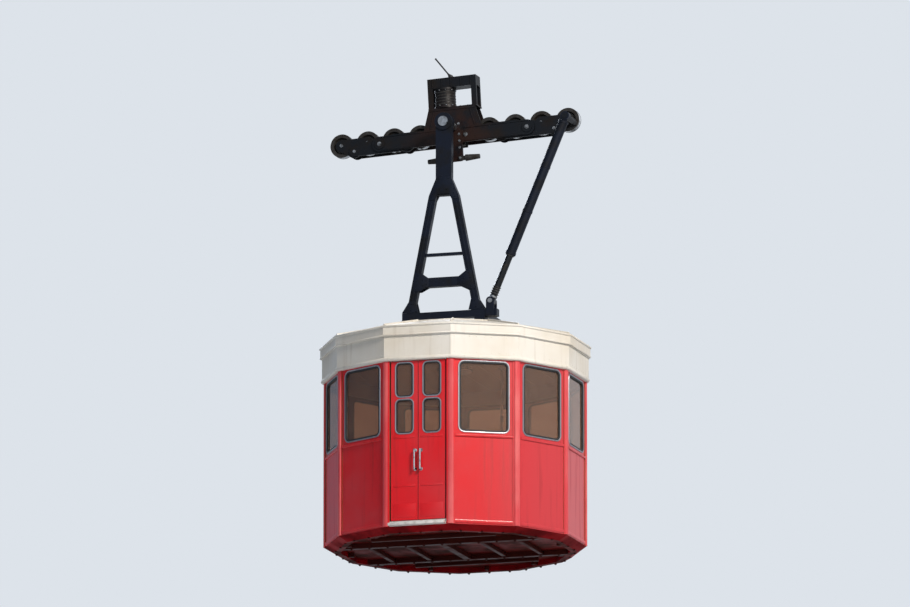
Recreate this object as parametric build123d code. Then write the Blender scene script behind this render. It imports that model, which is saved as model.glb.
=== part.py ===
from build123d import *
import math
import os

# Aerial cable car of the single track rope type: an eight-wheel carriage that rides on the track
# rope, a one-sided A-frame hanger on the carriage's centre axle, and a twelve-sided cabin with a
# two-leaf door. Millimetres.
# Frame: origin on the track rope's axis, straight below the hanger axle. +X is the way of travel
# that climbs, +Y points away from the door side, +Z is up.

# Track rope and its slope where the cabin hangs
rope_diameter = 50.0
rope_slope = 3.0

# Track wheels
wheel_count_per_side = 4
wheel_pitch = 320.0
first_wheel_x = 420.0
tread_radius = 115.0
core_half_width = 30.0
flange_height = 25.0
flange_thickness = 15.0
flange_taper = 6.0
flange_seat_radius = 62.0
hub_half_width = 46.0
hub_radius = 40.0
axle_radius = 20.0
running_gap = 0.3

# Carriage plates, from the wheels outwards
rocker_gap = 6.0
rocker_plate = 14.0
rocker_end_radius = 66.0
rocker_pivot_height = 50.0
rocker_pivot_radius = 18.0
rocker_boss_radius = 75.0
bogie_gap = 6.0
bogie_plate = 14.0
bogie_pivot_height = 96.0
bogie_pivot_radius = 18.0
bogie_end_radius = 60.0
bogie_boss_radius = 90.0
main_gap = 6.0
main_plate = 18.0
main_end_radius = 90.0
main_block_foot_half = 390.0
main_block_top_half = 285.0
main_block_foot = 60.0
main_block_top = 425.0
pin_head = 8.0

# Hanger axle, above the rope
hanger_axle_height = 190.0
hanger_axle_radius = 45.0
axle_collar = 14.0

# Brake on the track rope, and the tower above it
jaw_half_length = 130.0
jaw_inner = 31.0
jaw_thickness = 26.0
jaw_bottom = -30.0
brake_body_bottom = 50.0
brake_body_top = 125.0
brake_body_half_length = 150.0
tower_base_thickness = 18.0
tower_left = -285.0
tower_right = 305.0
tower_post = 62.0
tower_depth_half = 92.0
tower_wall = 30.0
tower_top = 800.0
tower_beam = 120.0
spring_radius = 118.0
spring_x = -98.0
spring_cap = 24.0
mast_radius = 9.0
mast_length = 300.0
mast_lean = 36.0
mast_x = -20.0
mast_base_radius = 26.0
mast_base_height = 34.0

# Hauling rope sockets
haul_drop = 190.0
haul_plate = 24.0
haul_plate_half = 115.0
haul_plate_top = 250.0
haul_plate_end_radius = 34.0
haul_pin_x = 85.0
haul_pin_radius = 14.0
haul_fork_ear = 14.0
haul_fork_height = 44.0
haul_fork_reach = 48.0
haul_cone_length = 170.0
haul_cone_root = 40.0
haul_cone_tip = 27.0

# Hanger, in a plane beside the rope
hanger_y = -430.0
hanger_depth = 80.0
hanger_hub_radius = 98.0
hanger_hub_length = 120.0
neck_top_half = 95.0
neck_foot = -690.0
neck_foot_height = 200.0
leg_width = 90.0
leg_top_centre = 135.0
leg_foot_centre = 405.0
tie_bar_height = 110.0
tie_bar_centre = -1715.0
rung_height = 34.0
rung_centres = (-1385.0,)
base_beam_top = -2070.0
base_beam_height = 84.0
base_foot_height = 76.0
base_beam_half_length = 500.0
base_beam_damper_reach = 150.0
base_foot = 120.0

# Swing damper between the carriage's uphill end and the hanger's foot
damper_pin_x = 1470.0
damper_pin_height = 90.0
damper_pin_radius = 20.0
damper_eye_radius = 52.0
damper_eye_length = 90.0
damper_bracket_plate = 18.0
damper_bracket_radius = 36.0
damper_barrel_radius = 56.0
damper_barrel_start = 60.0
damper_barrel_length = 1680.0
damper_rod_radius = 40.0
damper_rod_gap = 0.4
damper_rod_inner_end = 620.0
damper_foot_x = 570.0
damper_foot_z = -1975.0
damper_ear_gap = 6.0
damper_ear = 14.0
damper_ear_radius = 48.0

# Cabin: a regular twelve-sided body
sides = 12
across_flats = 2930.0
wall_thickness = 40.0
post_face = 50.0
post_proud = 8.0
post_inset = 12.0
window_width = 580.0
window_height = 820.0
window_sill = 1090.0
window_header = 30.0
window_corner = 60.0
window_frame = 20.0
window_frame_depth = 26.0
window_frame_inset = 4.0
pane_thickness = 6.0

# Floor and underside
skirt_drop = 60.0
skirt_inset = 100.0
skirt_rim = 70.0
floor_thickness = 60.0
underframe_beam = 80.0
underframe_beam_y = 520.0

# Roof
fascia_height = 420.0
fascia_proud = 35.0
fascia_thickness = 83.0
gutter_height = 130.0
gutter_proud = 20.0
roof_height = 180.0
crown_across_flats = 1560.0
roof_sheet = 24.0
ceiling_lift_height = 170.0
ceiling_thickness = 20.0

# Door, two leaves that swing inwards
door_jamb_gap = 16.0
door_meeting_gap = 8.0
door_end_gap = 8.0
door_window_width = 200.0
door_window_corner = 50.0
door_window_bar = 40.0
door_pivot_inset = 14.0
door_pivot_radius = 8.0
door_pivot_depth = 20.0
door_handle_height = 1010.0
door_handle_radius = 11.0
door_handle_length = 240.0
door_handle_stand = 45.0
door_handle_stand_radius = 8.0
step_thickness = 28.0
step_reach = 95.0
step_half = 338.0

# Inside fittings
rail_height = 1000.0
rail_radius = 16.0
rail_stand = 75.0
rail_end_margin = 110.0
rail_bracket_radius = 9.0
pole_radius = 17.0
pole_x = 520.0
pole_y = 150.0
lamp_panel_radius = 190.0
lamp_panel_height = 40.0

# Worked out from the sizes above
rope_radius = rope_diameter / 2
flange_radius = tread_radius + flange_height
axle_height = rope_radius + tread_radius
base_beam_width = damper_eye_length + 2 * damper_ear_gap
pivot_z = hanger_axle_height / math.cos(math.radians(rope_slope))
rocker_inner = hub_half_width + running_gap
rocker_outer = rocker_inner + rocker_plate
bogie_inner = rocker_outer + bogie_gap
bogie_outer = bogie_inner + bogie_plate
main_inner = bogie_outer + main_gap
main_outer = main_inner + main_plate
wheel_xs = [first_wheel_x + wheel_pitch * i for i in range(wheel_count_per_side)]
rocker_xs = [(wheel_xs[0] + wheel_xs[1]) / 2, (wheel_xs[2] + wheel_xs[3]) / 2]
bogie_x = (rocker_xs[0] + rocker_xs[1]) / 2
apothem = across_flats / 2
side_angle = 360.0 / sides
half_side = apothem * math.tan(math.radians(side_angle / 2))
base_beam_foot = base_beam_top - base_beam_height
crown_z = base_beam_foot - base_foot_height
roof_edge = crown_z - roof_height
wall_top = roof_edge - fascia_height
wall_height = window_sill + window_height + window_header
cabin_foot = wall_top - wall_height
floor_top = cabin_foot + floor_thickness
ceiling_z = wall_top + ceiling_lift_height
panel_half = half_side - post_face
panel_inner = apothem - wall_thickness
door_foot = floor_top + door_end_gap
door_head = wall_top - door_end_gap
leaf_width = panel_half - door_jamb_gap - door_meeting_gap / 2
door_pivot_x = panel_half - door_jamb_gap - door_pivot_inset
door_pivot_y = -(panel_inner + wall_thickness / 2)
haul_y = -(main_outer + haul_plate / 2)

os.makedirs("parts", exist_ok=True)
carriage_place = Pos(0, 0, pivot_z) * Rot(0, -rope_slope, 0) * Pos(0, 0, -hanger_axle_height)


def save(name, shape):
    """Writes one sub-part, as a single solid or as a compound of solids that don't overlap."""
    if isinstance(shape, (list, tuple)):
        shape = Compound(children=[s for part in shape for s in part.solids()])
    export_step(shape, f"parts/{name}.step")


def on_carriage(shapes):
    """Places shapes drawn with the rope along X at the rope's slope."""
    if isinstance(shapes, (list, tuple)):
        return [carriage_place * s for s in shapes]
    return carriage_place * shapes


def block(x0, x1, y0, y1, z0, z1):
    """A box between two corners."""
    return Pos((x0 + x1) / 2, (y0 + y1) / 2, (z0 + z1) / 2) * Box(x1 - x0, y1 - y0, z1 - z0)


def rod_y(x, z, radius, y0, y1):
    """A round bar along Y."""
    return Pos(x, (y0 + y1) / 2, z) * Rot(90, 0, 0) * Cylinder(radius, y1 - y0)


def plate_y(points, y0, y1):
    """A plate with a straight-sided outline of (x, z) points, between two y values."""
    outline = Plane(origin=(0, y0, 0), x_dir=(1, 0, 0), z_dir=(0, -1, 0)) * Polyline(*points, close=True)
    return extrude(make_face(outline.edges()), amount=y1 - y0, dir=(0, 1, 0))


def hull_plate_y(circles, y0, y1):
    """A plate whose outline is a band stretched round circles of (x, z, radius), between two y values."""
    rings = Sketch() + [Pos(x, z) * Circle(r) for x, z, r in circles]
    outline = Plane(origin=(0, y0, 0), x_dir=(1, 0, 0), z_dir=(0, -1, 0)) * make_hull(rings.edges())
    return extrude(outline, amount=y1 - y0, dir=(0, 1, 0))


def polygon(inner_radius, z):
    """The cabin's twelve-sided outline at a height, flats facing X and Y."""
    corners = inner_radius / math.cos(math.radians(side_angle / 2))
    return Pos(0, 0, z) * Rot(0, 0, side_angle / 2) * RegularPolygon(corners, sides)


def prism(inner_radius, z0, z1):
    """A twelve-sided block between two heights."""
    return extrude(polygon(inner_radius, z0), amount=z1 - z0)


def frustum(radius0, z0, radius1, z1):
    """A twelve-sided block that tapers between two heights."""
    return loft([polygon(radius0, z0).face(), polygon(radius1, z1).face()], ruled=True)


def facet(shape, index):
    """Turns a shape drawn on the door side to side number index, anticlockwise from above."""
    return Rot(0, 0, side_angle * index) * shape


def upright_slab(width, height, corner, y0, y1, z_centre):
    """A slab with rounded corners, upright across Y, for windows and their frames."""
    outline = Plane(origin=(0, y0, z_centre), x_dir=(1, 0, 0), z_dir=(0, -1, 0)) * RectangleRounded(
        width, height, corner
    )
    return extrude(outline, amount=y1 - y0, dir=(0, 1, 0))


# Track wheels: a grooved core and two flange rings each, on the rope's top
def track_wheel(x):
    core = rod_y(x, axle_height, tread_radius, -core_half_width, core_half_width)
    core += rod_y(x, axle_height, hub_radius, -hub_half_width, hub_half_width)
    core -= rod_y(x, axle_height, axle_radius + running_gap, -hub_half_width, hub_half_width)
    flanges = []
    for side in (-1, 1):
        inner = core_half_width + running_gap
        outer = inner + flange_thickness
        profile = Polyline(
            (flange_seat_radius, inner),
            (tread_radius, inner),
            (flange_radius, inner + flange_taper),
            (flange_radius, outer),
            (flange_seat_radius, outer),
            close=True,
        )
        ring = revolve(make_face(profile.edges()), Axis.Y, 360)
        if side < 0:
            ring = mirror(ring, Plane.XZ)
        flanges.append(Pos(x, 0, axle_height) * ring)
    return [core, *flanges]


# Wheels are numbered from the downhill end
all_wheel_xs = [-x for x in reversed(wheel_xs)] + wheel_xs
for number, x in enumerate(all_wheel_xs, 1):
    save(f"track_wheel_{number}", on_carriage(track_wheel(x)))

# Wheel axles, through the rocker plates
axle_end = rocker_outer + pin_head / 2
wheel_axles = [rod_y(x, axle_height, axle_radius, -axle_end, axle_end) for x in all_wheel_xs]
save("wheel_axles", on_carriage(wheel_axles))

# Rockers: two plates that carry two wheels and turn on a pivot pin between them
all_rocker_xs = [-x for x in reversed(rocker_xs)] + rocker_xs
for number, x in enumerate(all_rocker_xs, 1):
    plates = []
    for side in (-1, 1):
        y0, y1 = sorted((side * rocker_inner, side * rocker_outer))
        plate = hull_plate_y(
            [
                (x - wheel_pitch / 2, axle_height, rocker_end_radius),
                (x + wheel_pitch / 2, axle_height, rocker_end_radius),
                (x, rocker_pivot_height, rocker_boss_radius),
            ],
            y0,
            y1,
        )
        for hole_x, hole_z, hole_r in (
            (x - wheel_pitch / 2, axle_height, axle_radius),
            (x + wheel_pitch / 2, axle_height, axle_radius),
            (x, rocker_pivot_height, rocker_pivot_radius),
        ):
            plate -= rod_y(hole_x, hole_z, hole_r, y0, y1)
        plates.append(plate)
    save(f"rocker_{number}", on_carriage(plates))

# Pivot pins of the rockers and of the bogie beams
rocker_pin_end = bogie_outer + pin_head / 2
bogie_pin_end = main_outer + pin_head
pivot_pins = []
for x in all_rocker_xs:
    pivot_pins.append(
        rod_y(x, rocker_pivot_height, rocker_pivot_radius, -rocker_pin_end, rocker_pin_end)
    )
for side in (-1, 1):
    pivot_pins.append(
        rod_y(side * bogie_x, bogie_pivot_height, bogie_pivot_radius, -bogie_pin_end, bogie_pin_end)
    )
save("pivot_pins", on_carriage(pivot_pins))

# Bogie beams: each carries two rockers
for name, side in (("downhill", -1), ("uphill", 1)):
    plates = []
    for flank in (-1, 1):
        y0, y1 = sorted((flank * bogie_inner, flank * bogie_outer))
        plate = hull_plate_y(
            [
                (side * rocker_xs[0], rocker_pivot_height, bogie_end_radius),
                (side * rocker_xs[1], rocker_pivot_height, bogie_end_radius),
                (side * bogie_x, bogie_pivot_height, bogie_boss_radius),
            ],
            y0,
            y1,
        )
        for rocker_x in rocker_xs:
            plate -= rod_y(side * rocker_x, rocker_pivot_height, rocker_pivot_radius, y0, y1)
        plate -= rod_y(side * bogie_x, bogie_pivot_height, bogie_pivot_radius, y0, y1)
        plates.append(plate)
    save(f"bogie_beam_{name}", on_carriage(plates))

# Main beam: two long plates with a tall block in the middle
main_plates = []
for flank in (-1, 1):
    y0, y1 = sorted((flank * main_inner, flank * main_outer))
    plate = hull_plate_y(
        [(side * bogie_x, bogie_pivot_height, main_end_radius) for side in (-1, 1)], y0, y1
    )
    plate += plate_y(
        [
            (-main_block_foot_half, main_block_foot),
            (main_block_foot_half, main_block_foot),
            (main_block_top_half, main_block_top),
            (-main_block_top_half, main_block_top),
        ],
        y0,
        y1,
    )
    for side in (-1, 1):
        plate -= rod_y(side * bogie_x, bogie_pivot_height, bogie_pivot_radius, y0, y1)
    plate -= rod_y(0, hanger_axle_height, hanger_axle_radius, y0, y1)
    main_plates.append(plate)
save("main_beam", on_carriage(main_plates))

# Hanger axle, from the far plate out to the hanger's plane
hanger_hub_near = hanger_y - hanger_hub_length / 2
hanger_hub_far = hanger_y + hanger_hub_length / 2
hanger_collar_radius = hanger_axle_radius + axle_collar
axle_near = hanger_hub_near - running_gap - axle_collar
axle_far = main_outer + axle_collar
axle = rod_y(0, hanger_axle_height, hanger_axle_radius, axle_near, axle_far)
for y0, y1 in (
    (axle_near, hanger_hub_near - running_gap),
    (hanger_hub_far + running_gap, -main_outer),
    (main_outer, axle_far),
):
    axle += rod_y(0, hanger_axle_height, hanger_collar_radius, y0, y1)
save("hanger_axle", on_carriage(axle))

# Rope brake: a body between the main plates, and jaws each side of the rope
brake_body = block(
    -brake_body_half_length, brake_body_half_length,
    -main_inner, main_inner, brake_body_bottom, brake_body_top,
)
save("brake_body", on_carriage(brake_body))
brake_jaws = []
for flank in (-1, 1):
    y0, y1 = sorted((flank * jaw_inner, flank * (jaw_inner + jaw_thickness)))
    brake_jaws.append(
        block(-jaw_half_length, jaw_half_length, y0, y1, jaw_bottom, brake_body_bottom)
    )
save("brake_jaws", on_carriage(brake_jaws))

# Brake tower: a base plate on the main plates, posts and a top beam, with the spring housing inside
tower_base_top = main_block_top + tower_base_thickness
tower = block(tower_left, tower_right, -main_outer, main_outer, main_block_top, tower_base_top)
tower_beam_bottom = tower_top - tower_beam
for flank in (-1, 1):
    y0, y1 = sorted((flank * (tower_depth_half - tower_wall), flank * tower_depth_half))
    tower += block(tower_left, tower_left + tower_post, y0, y1, tower_base_top, tower_top)
    tower += block(tower_right - tower_post, tower_right, y0, y1, tower_base_top, tower_top)
tower += block(
    tower_left, tower_right, -tower_depth_half, tower_depth_half, tower_beam_bottom, tower_top
)
save("tower_frame", on_carriage(tower))
housing = Pos(spring_x, 0, (tower_base_top + tower_beam_bottom) / 2) * Cylinder(
    spring_radius, tower_beam_bottom - tower_base_top
)
for cap_z in (tower_base_top + spring_cap / 2, tower_beam_bottom - spring_cap / 2):
    housing += Pos(spring_x, 0, cap_z) * Cylinder(spring_radius + spring_cap / 2, spring_cap)
save("brake_spring_housing", on_carriage(housing))

# Radio mast on the tower
mast = Pos(mast_x, 0, tower_top + mast_base_height / 2) * Cylinder(mast_base_radius, mast_base_height)
mast += (
    Pos(mast_x, 0, tower_top + mast_base_height / 2)
    * Rot(0, -mast_lean, 0)
    * Pos(0, 0, mast_length / 2)
    * Cylinder(mast_radius, mast_length)
)
save("radio_mast", on_carriage(mast))

# Hauling rope: a plate on the near main plate, with a socket pinned to each end. A rope's end is
# cast into a socket, so the sockets are solid
haul_near, haul_far = -main_outer - haul_plate, -main_outer
haul_bracket = hull_plate_y(
    [
        (-haul_pin_x, -haul_drop, haul_plate_end_radius),
        (haul_pin_x, -haul_drop, haul_plate_end_radius),
    ],
    haul_near,
    haul_far,
)
haul_bracket += block(
    -haul_plate_half, haul_plate_half, haul_near, haul_far, -haul_drop, haul_plate_top
)
haul_bracket -= rod_y(
    0, hanger_axle_height, hanger_collar_radius + running_gap, haul_near, haul_far
)
for side in (-1, 1):
    haul_bracket -= rod_y(side * haul_pin_x, -haul_drop, haul_pin_radius, haul_near, haul_far)
save("haul_bracket", on_carriage(haul_bracket))
haul_pins = []
for name, side in (("downhill", -1), ("uphill", 1)):
    fork_near = haul_near - running_gap - haul_fork_ear
    fork_far = haul_far + running_gap + haul_fork_ear
    root_x = haul_pin_x + haul_plate_end_radius + 4 * running_gap
    fork = block(
        haul_pin_x - haul_fork_height / 2, root_x + haul_fork_reach / 2, fork_near, fork_far,
        -haul_drop - haul_fork_height / 2, -haul_drop + haul_fork_height / 2,
    )
    fork -= block(
        0, root_x, haul_near - running_gap, haul_far + running_gap,
        -haul_drop - haul_fork_height, -haul_drop + haul_fork_height,
    )
    fork -= rod_y(haul_pin_x, -haul_drop, haul_pin_radius, fork_near, fork_far)
    cone_start = root_x + haul_fork_reach / 2
    cone = Pos(cone_start + haul_cone_length / 2, haul_y, -haul_drop) * Rot(0, 90, 0) * Cone(
        haul_cone_root, haul_cone_tip, haul_cone_length
    )
    socket = fork + cone
    pin = rod_y(
        haul_pin_x, -haul_drop, haul_pin_radius, fork_near - pin_head, fork_far + pin_head
    )
    if side < 0:
        socket = mirror(socket, Plane.YZ)
        pin = mirror(pin, Plane.YZ)
    haul_pins.append(pin)
    save(f"haul_socket_{name}", on_carriage(socket))
save("haul_pins", on_carriage(haul_pins))

# Damper bracket on the uphill rocker's near plate
bracket_near = -axle_end - damper_bracket_plate
damper_collar_radius = damper_pin_radius + axle_collar
damper_bracket = hull_plate_y(
    [
        (wheel_xs[-1], axle_height, damper_bracket_radius),
        (damper_pin_x, damper_pin_height, damper_bracket_radius),
    ],
    bracket_near,
    -rocker_outer,
)
damper_bracket -= rod_y(wheel_xs[-1], axle_height, axle_radius, -axle_end, -rocker_outer)
damper_eye_near = hanger_y - damper_eye_length / 2
damper_eye_far = hanger_y + damper_eye_length / 2
damper_pin_near = damper_eye_near - running_gap - pin_head
for radius, y0, y1 in (
    (damper_pin_radius, damper_pin_near, bracket_near),
    (damper_collar_radius, damper_pin_near, damper_eye_near - running_gap),
    (damper_collar_radius, damper_eye_far + running_gap, bracket_near),
):
    damper_bracket += rod_y(damper_pin_x, damper_pin_height, radius, y0, y1)
save("damper_bracket", on_carriage(damper_bracket))

# Swing damper: a barrel on the bracket's pin, and a rod that slides in it
damper_top = (carriage_place * Pos(damper_pin_x, hanger_y, damper_pin_height)).position
damper_run = damper_top.X - damper_foot_x
damper_rise = damper_top.Z - damper_foot_z
damper_length = math.hypot(damper_run, damper_rise)
damper_angle = math.degrees(math.atan2(damper_run, damper_rise))
damper_place = Pos(damper_top.X, hanger_y, damper_top.Z) * Rot(0, damper_angle, 0)


def along_damper(radius, start, end):
    """A round bar on the damper's line, measured down from its upper pin."""
    return damper_place * Pos(0, 0, -(start + end) / 2) * Cylinder(radius, end - start)


def damper_eye(at):
    """A round eye across the damper's line."""
    return damper_place * Pos(0, 0, -at) * Rot(90, 0, 0) * Cylinder(damper_eye_radius, damper_eye_length)


barrel_end = damper_barrel_start + damper_barrel_length
bore_start = damper_barrel_start + damper_eye_radius
barrel = damper_eye(0) + along_damper(damper_rod_radius, 0, bore_start)
barrel += along_damper(damper_barrel_radius, damper_barrel_start, barrel_end)
barrel -= along_damper(damper_rod_radius + damper_rod_gap, bore_start, barrel_end)
barrel -= damper_place * Rot(90, 0, 0) * Cylinder(damper_pin_radius + running_gap, damper_eye_length)
save("damper_barrel", barrel)
rod = along_damper(damper_rod_radius, damper_rod_inner_end, damper_length)
rod += damper_eye(damper_length)
save("damper_rod", rod)

# Hanger: hub and neck, two legs, cross bars
hanger_near, hanger_far = hanger_y - hanger_depth / 2, hanger_y + hanger_depth / 2
neck_foot_top = neck_foot + neck_foot_height
head = rod_y(0, pivot_z, hanger_hub_radius, hanger_hub_near, hanger_hub_far)
head += plate_y(
    [
        (-neck_top_half, pivot_z),
        (neck_top_half, pivot_z),
        (neck_top_half, neck_foot_top),
        (-neck_top_half, neck_foot_top),
    ],
    hanger_near,
    hanger_far,
)
leg_run = (leg_foot_centre - leg_top_centre) / (neck_foot - base_beam_top)
leg_half = leg_width / 2
head += plate_y(
    [
        (-leg_top_centre - leg_half, neck_foot),
        (leg_top_centre + leg_half, neck_foot),
        (neck_top_half, neck_foot_top),
        (-neck_top_half, neck_foot_top),
    ],
    hanger_near,
    hanger_far,
)
head -= rod_y(0, pivot_z, hanger_axle_radius + running_gap, hanger_hub_near, hanger_hub_far)
save("hanger_head", head)
for name, side in (("downhill", -1), ("uphill", 1)):
    save(
        f"hanger_leg_{name}",
        plate_y(
            [
                (side * (leg_top_centre - leg_half), neck_foot),
                (side * (leg_top_centre + leg_half), neck_foot),
                (side * (leg_foot_centre + leg_half), base_beam_top),
                (side * (leg_foot_centre - leg_half), base_beam_top),
            ],
            hanger_near,
            hanger_far,
        ),
    )


def bar_half(z):
    """Half the clear width between the legs at a height."""
    return leg_top_centre - leg_half + leg_run * (neck_foot - z)


def cross_bar(centre, height, depth):
    """A bar between the legs, its ends cut to the legs' slope."""
    low, high = centre - height / 2, centre + height / 2
    return plate_y(
        [(-bar_half(low), low), (bar_half(low), low), (bar_half(high), high), (-bar_half(high), high)],
        hanger_y - depth / 2,
        hanger_y + depth / 2,
    )


save(
    "hanger_cross_bars",
    [cross_bar(tie_bar_centre, tie_bar_height, hanger_depth)]
    + [cross_bar(z, rung_height, hanger_depth / 2) for z in rung_centres],
)

# Base of the hanger on the roof: two long beams, cross beams between them, and feet on the crown
base_half = base_beam_width / 2
long_beams = []
for side in (-1, 1):
    reach = base_beam_damper_reach if side < 0 else 0.0
    beam = block(
        -base_beam_half_length, base_beam_half_length + reach,
        side * -hanger_y - base_half, side * -hanger_y + base_half, base_beam_foot, base_beam_top,
    )
    for foot_side in (-1, 1):
        foot_x = foot_side * (base_beam_half_length - base_foot / 2)
        beam += block(
            foot_x - base_foot / 2, foot_x + base_foot / 2,
            side * -hanger_y - base_foot / 2, side * -hanger_y + base_foot / 2, crown_z, base_beam_foot,
        )
    long_beams.append(beam)
save("base_beams", long_beams)
cross_x = base_beam_half_length - base_foot / 2
save(
    "base_cross_beams",
    [
        block(
            side * cross_x - base_half, side * cross_x + base_half,
            hanger_y + base_half, -hanger_y - base_half, base_beam_foot, base_beam_top,
        )
        for side in (-1, 1)
    ],
)
damper_ears = []
for side in (-1, 1):
    inner = side * (damper_eye_length / 2 + damper_ear_gap)
    outer = side * (damper_eye_length / 2 + damper_ear_gap + damper_ear)
    y0, y1 = sorted((hanger_y + inner, hanger_y + outer))
    damper_ears.append(
        hull_plate_y([(damper_foot_x, damper_foot_z, damper_ear_radius)], y0, y1)
        + block(
            damper_foot_x - damper_ear_radius, damper_foot_x + damper_ear_radius, y0, y1,
            base_beam_foot, damper_foot_z,
        )
    )
save("damper_ears", damper_ears)

# Roof: fascia ring with a gutter lip, and a shell that rises to a flat crown
fascia_outer = apothem + fascia_proud
fascia_inner = fascia_outer - fascia_thickness
fascia = prism(fascia_outer, wall_top, roof_edge)
fascia += prism(fascia_outer + gutter_proud, roof_edge - gutter_height, roof_edge)
fascia -= prism(fascia_inner, wall_top, roof_edge)
for side in (-1, 1):
    fascia -= Pos(side * door_pivot_x, door_pivot_y, wall_top) * Cylinder(
        door_pivot_radius + running_gap, 2 * door_pivot_depth
    )
save("roof_fascia", fascia)
crown = crown_across_flats / 2
dome = frustum(fascia_outer + gutter_proud, roof_edge, crown, crown_z)
dome -= frustum(
    fascia_outer + gutter_proud - 4 * roof_sheet, roof_edge, crown - roof_sheet, crown_z - roof_sheet
)
save("roof_dome", dome)
save("ceiling_panel", prism(fascia_inner, ceiling_z, ceiling_z + ceiling_thickness))

# Corner posts, one for each corner, proud of the walls outside and inside
half_angle = math.radians(side_angle / 2)
post_outer = apothem + post_proud
post_inner = panel_inner - post_inset
post_outline = [
    (half_side - post_face, -post_inner),
    (half_side - post_face, -post_outer),
    (post_outer * math.tan(half_angle), -post_outer),
    (post_inner * math.tan(half_angle), -post_inner),
]
half_post = extrude(make_face(Polyline(*post_outline, close=True).edges()), amount=wall_height)
corner_plane = Plane(
    origin=(0, 0, 0),
    x_dir=(math.sin(half_angle), -math.cos(half_angle), 0),
    z_dir=(math.cos(half_angle), math.sin(half_angle), 0),
)
post = Pos(0, 0, cabin_foot) * (half_post + mirror(half_post, corner_plane))
post -= prism(panel_inner, cabin_foot, floor_top)
save("corner_posts", [facet(post, i) for i in range(sides)])

# Wall panels with their window openings, on every side but the door's
panel = block(-panel_half, panel_half, -apothem, -panel_inner, cabin_foot, wall_top)
window_centre = cabin_foot + window_sill + window_height / 2
panel -= upright_slab(window_width, window_height, window_corner, -apothem, -panel_inner, window_centre)
frame_outer = -apothem + window_frame_inset
frame_inner = frame_outer + window_frame_depth
window_frame_ring = upright_slab(
    window_width, window_height, window_corner, frame_outer, frame_inner, window_centre
) - upright_slab(
    window_width - 2 * window_frame, window_height - 2 * window_frame, window_corner - window_frame,
    frame_outer, frame_inner, window_centre,
)
pane_outer = (frame_outer + frame_inner - pane_thickness) / 2
pane = upright_slab(
    window_width - 2 * window_frame, window_height - 2 * window_frame, window_corner - window_frame,
    pane_outer, pane_outer + pane_thickness, window_centre,
)
walls = range(1, sides)
save("wall_panels", [facet(panel, i) for i in walls])
save("window_frames", [facet(window_frame_ring, i) for i in walls])
save("window_panes", [facet(pane, i) for i in walls])

# Floor: a plate inside the walls on a skirt ring that tapers inwards below
skirt_foot = cabin_foot - skirt_drop
floor = frustum(apothem - skirt_inset, skirt_foot, apothem + post_proud, cabin_foot)
floor -= prism(apothem - skirt_inset - skirt_rim, skirt_foot, cabin_foot)
floor += prism(panel_inner, cabin_foot, floor_top)
for side in (-1, 1):
    floor -= Pos(side * door_pivot_x, door_pivot_y, floor_top) * Cylinder(
        door_pivot_radius + running_gap, 2 * door_pivot_depth
    )
save("floor", floor)
skirt_inside = prism(apothem - skirt_inset - skirt_rim, skirt_foot, cabin_foot)
beam_half = underframe_beam / 2
underframe = block(
    -beam_half, beam_half, -underframe_beam_y, underframe_beam_y, skirt_foot, cabin_foot
)
for side in (-1, 1):
    beam_y = side * underframe_beam_y
    long_beam = block(
        -apothem, apothem, beam_y - beam_half, beam_y + beam_half, skirt_foot, cabin_foot
    )
    underframe += long_beam & skirt_inside
save("underframe", underframe)

# Door sill block below the leaves, and the step on it
sill = block(-panel_half, panel_half, -apothem, -panel_inner, cabin_foot, floor_top)
for side in (-1, 1):
    sill -= Pos(side * door_pivot_x, door_pivot_y, floor_top) * Cylinder(
        door_pivot_radius + running_gap, 2 * door_pivot_depth
    )
save("door_sill", sill)
step = block(
    -step_half, step_half, -apothem - step_reach, -apothem, cabin_foot, cabin_foot + step_thickness
)
save("door_step", step)

# Door leaves with two windows each, pivots and handles
door_pane_height = (window_height - door_window_bar) / 2
door_pane_step = (window_height - door_pane_height) / 2
door_pane_centres = (window_centre - door_pane_step, window_centre + door_pane_step)
for name, side in (("left", -1), ("right", 1)):
    x0 = side * (door_meeting_gap / 2)
    x1 = side * (door_meeting_gap / 2 + leaf_width)
    leaf = block(min(x0, x1), max(x0, x1), -apothem, -panel_inner, door_foot, door_head)
    centre_x = (x0 + x1) / 2
    door_panes = []
    for pane_z in door_pane_centres:
        opening = upright_slab(
            door_window_width, door_pane_height, door_window_corner, -apothem, -panel_inner, pane_z
        )
        glass = upright_slab(
            door_window_width, door_pane_height, door_window_corner,
            pane_outer, pane_outer + pane_thickness, pane_z,
        )
        leaf -= Pos(centre_x, 0, 0) * opening
        door_panes.append(Pos(centre_x, 0, 0) * glass)
    for z0, z1 in ((door_foot - door_pivot_depth, door_foot), (door_head, door_head + door_pivot_depth)):
        leaf += Pos(side * door_pivot_x, door_pivot_y, (z0 + z1) / 2) * Cylinder(
            door_pivot_radius, z1 - z0
        )
    save(f"door_leaf_{name}", leaf)
    save(f"door_pane_{name}", door_panes)
    handle_x = side * (door_meeting_gap / 2 + (leaf_width - door_window_width) / 4)
    handle_z = cabin_foot + door_handle_height - door_handle_length
    grip_y = -apothem - door_handle_stand
    grip = Pos(handle_x, grip_y, handle_z) * Cylinder(door_handle_radius, door_handle_length)
    handle = [grip]
    for end in (-1, 1):
        stand_z = handle_z + end * (door_handle_length / 2 - door_handle_radius)
        handle.append(rod_y(handle_x, stand_z, door_handle_stand_radius, grip_y, -apothem) - grip)
    save(f"door_handle_{name}", handle)

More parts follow.
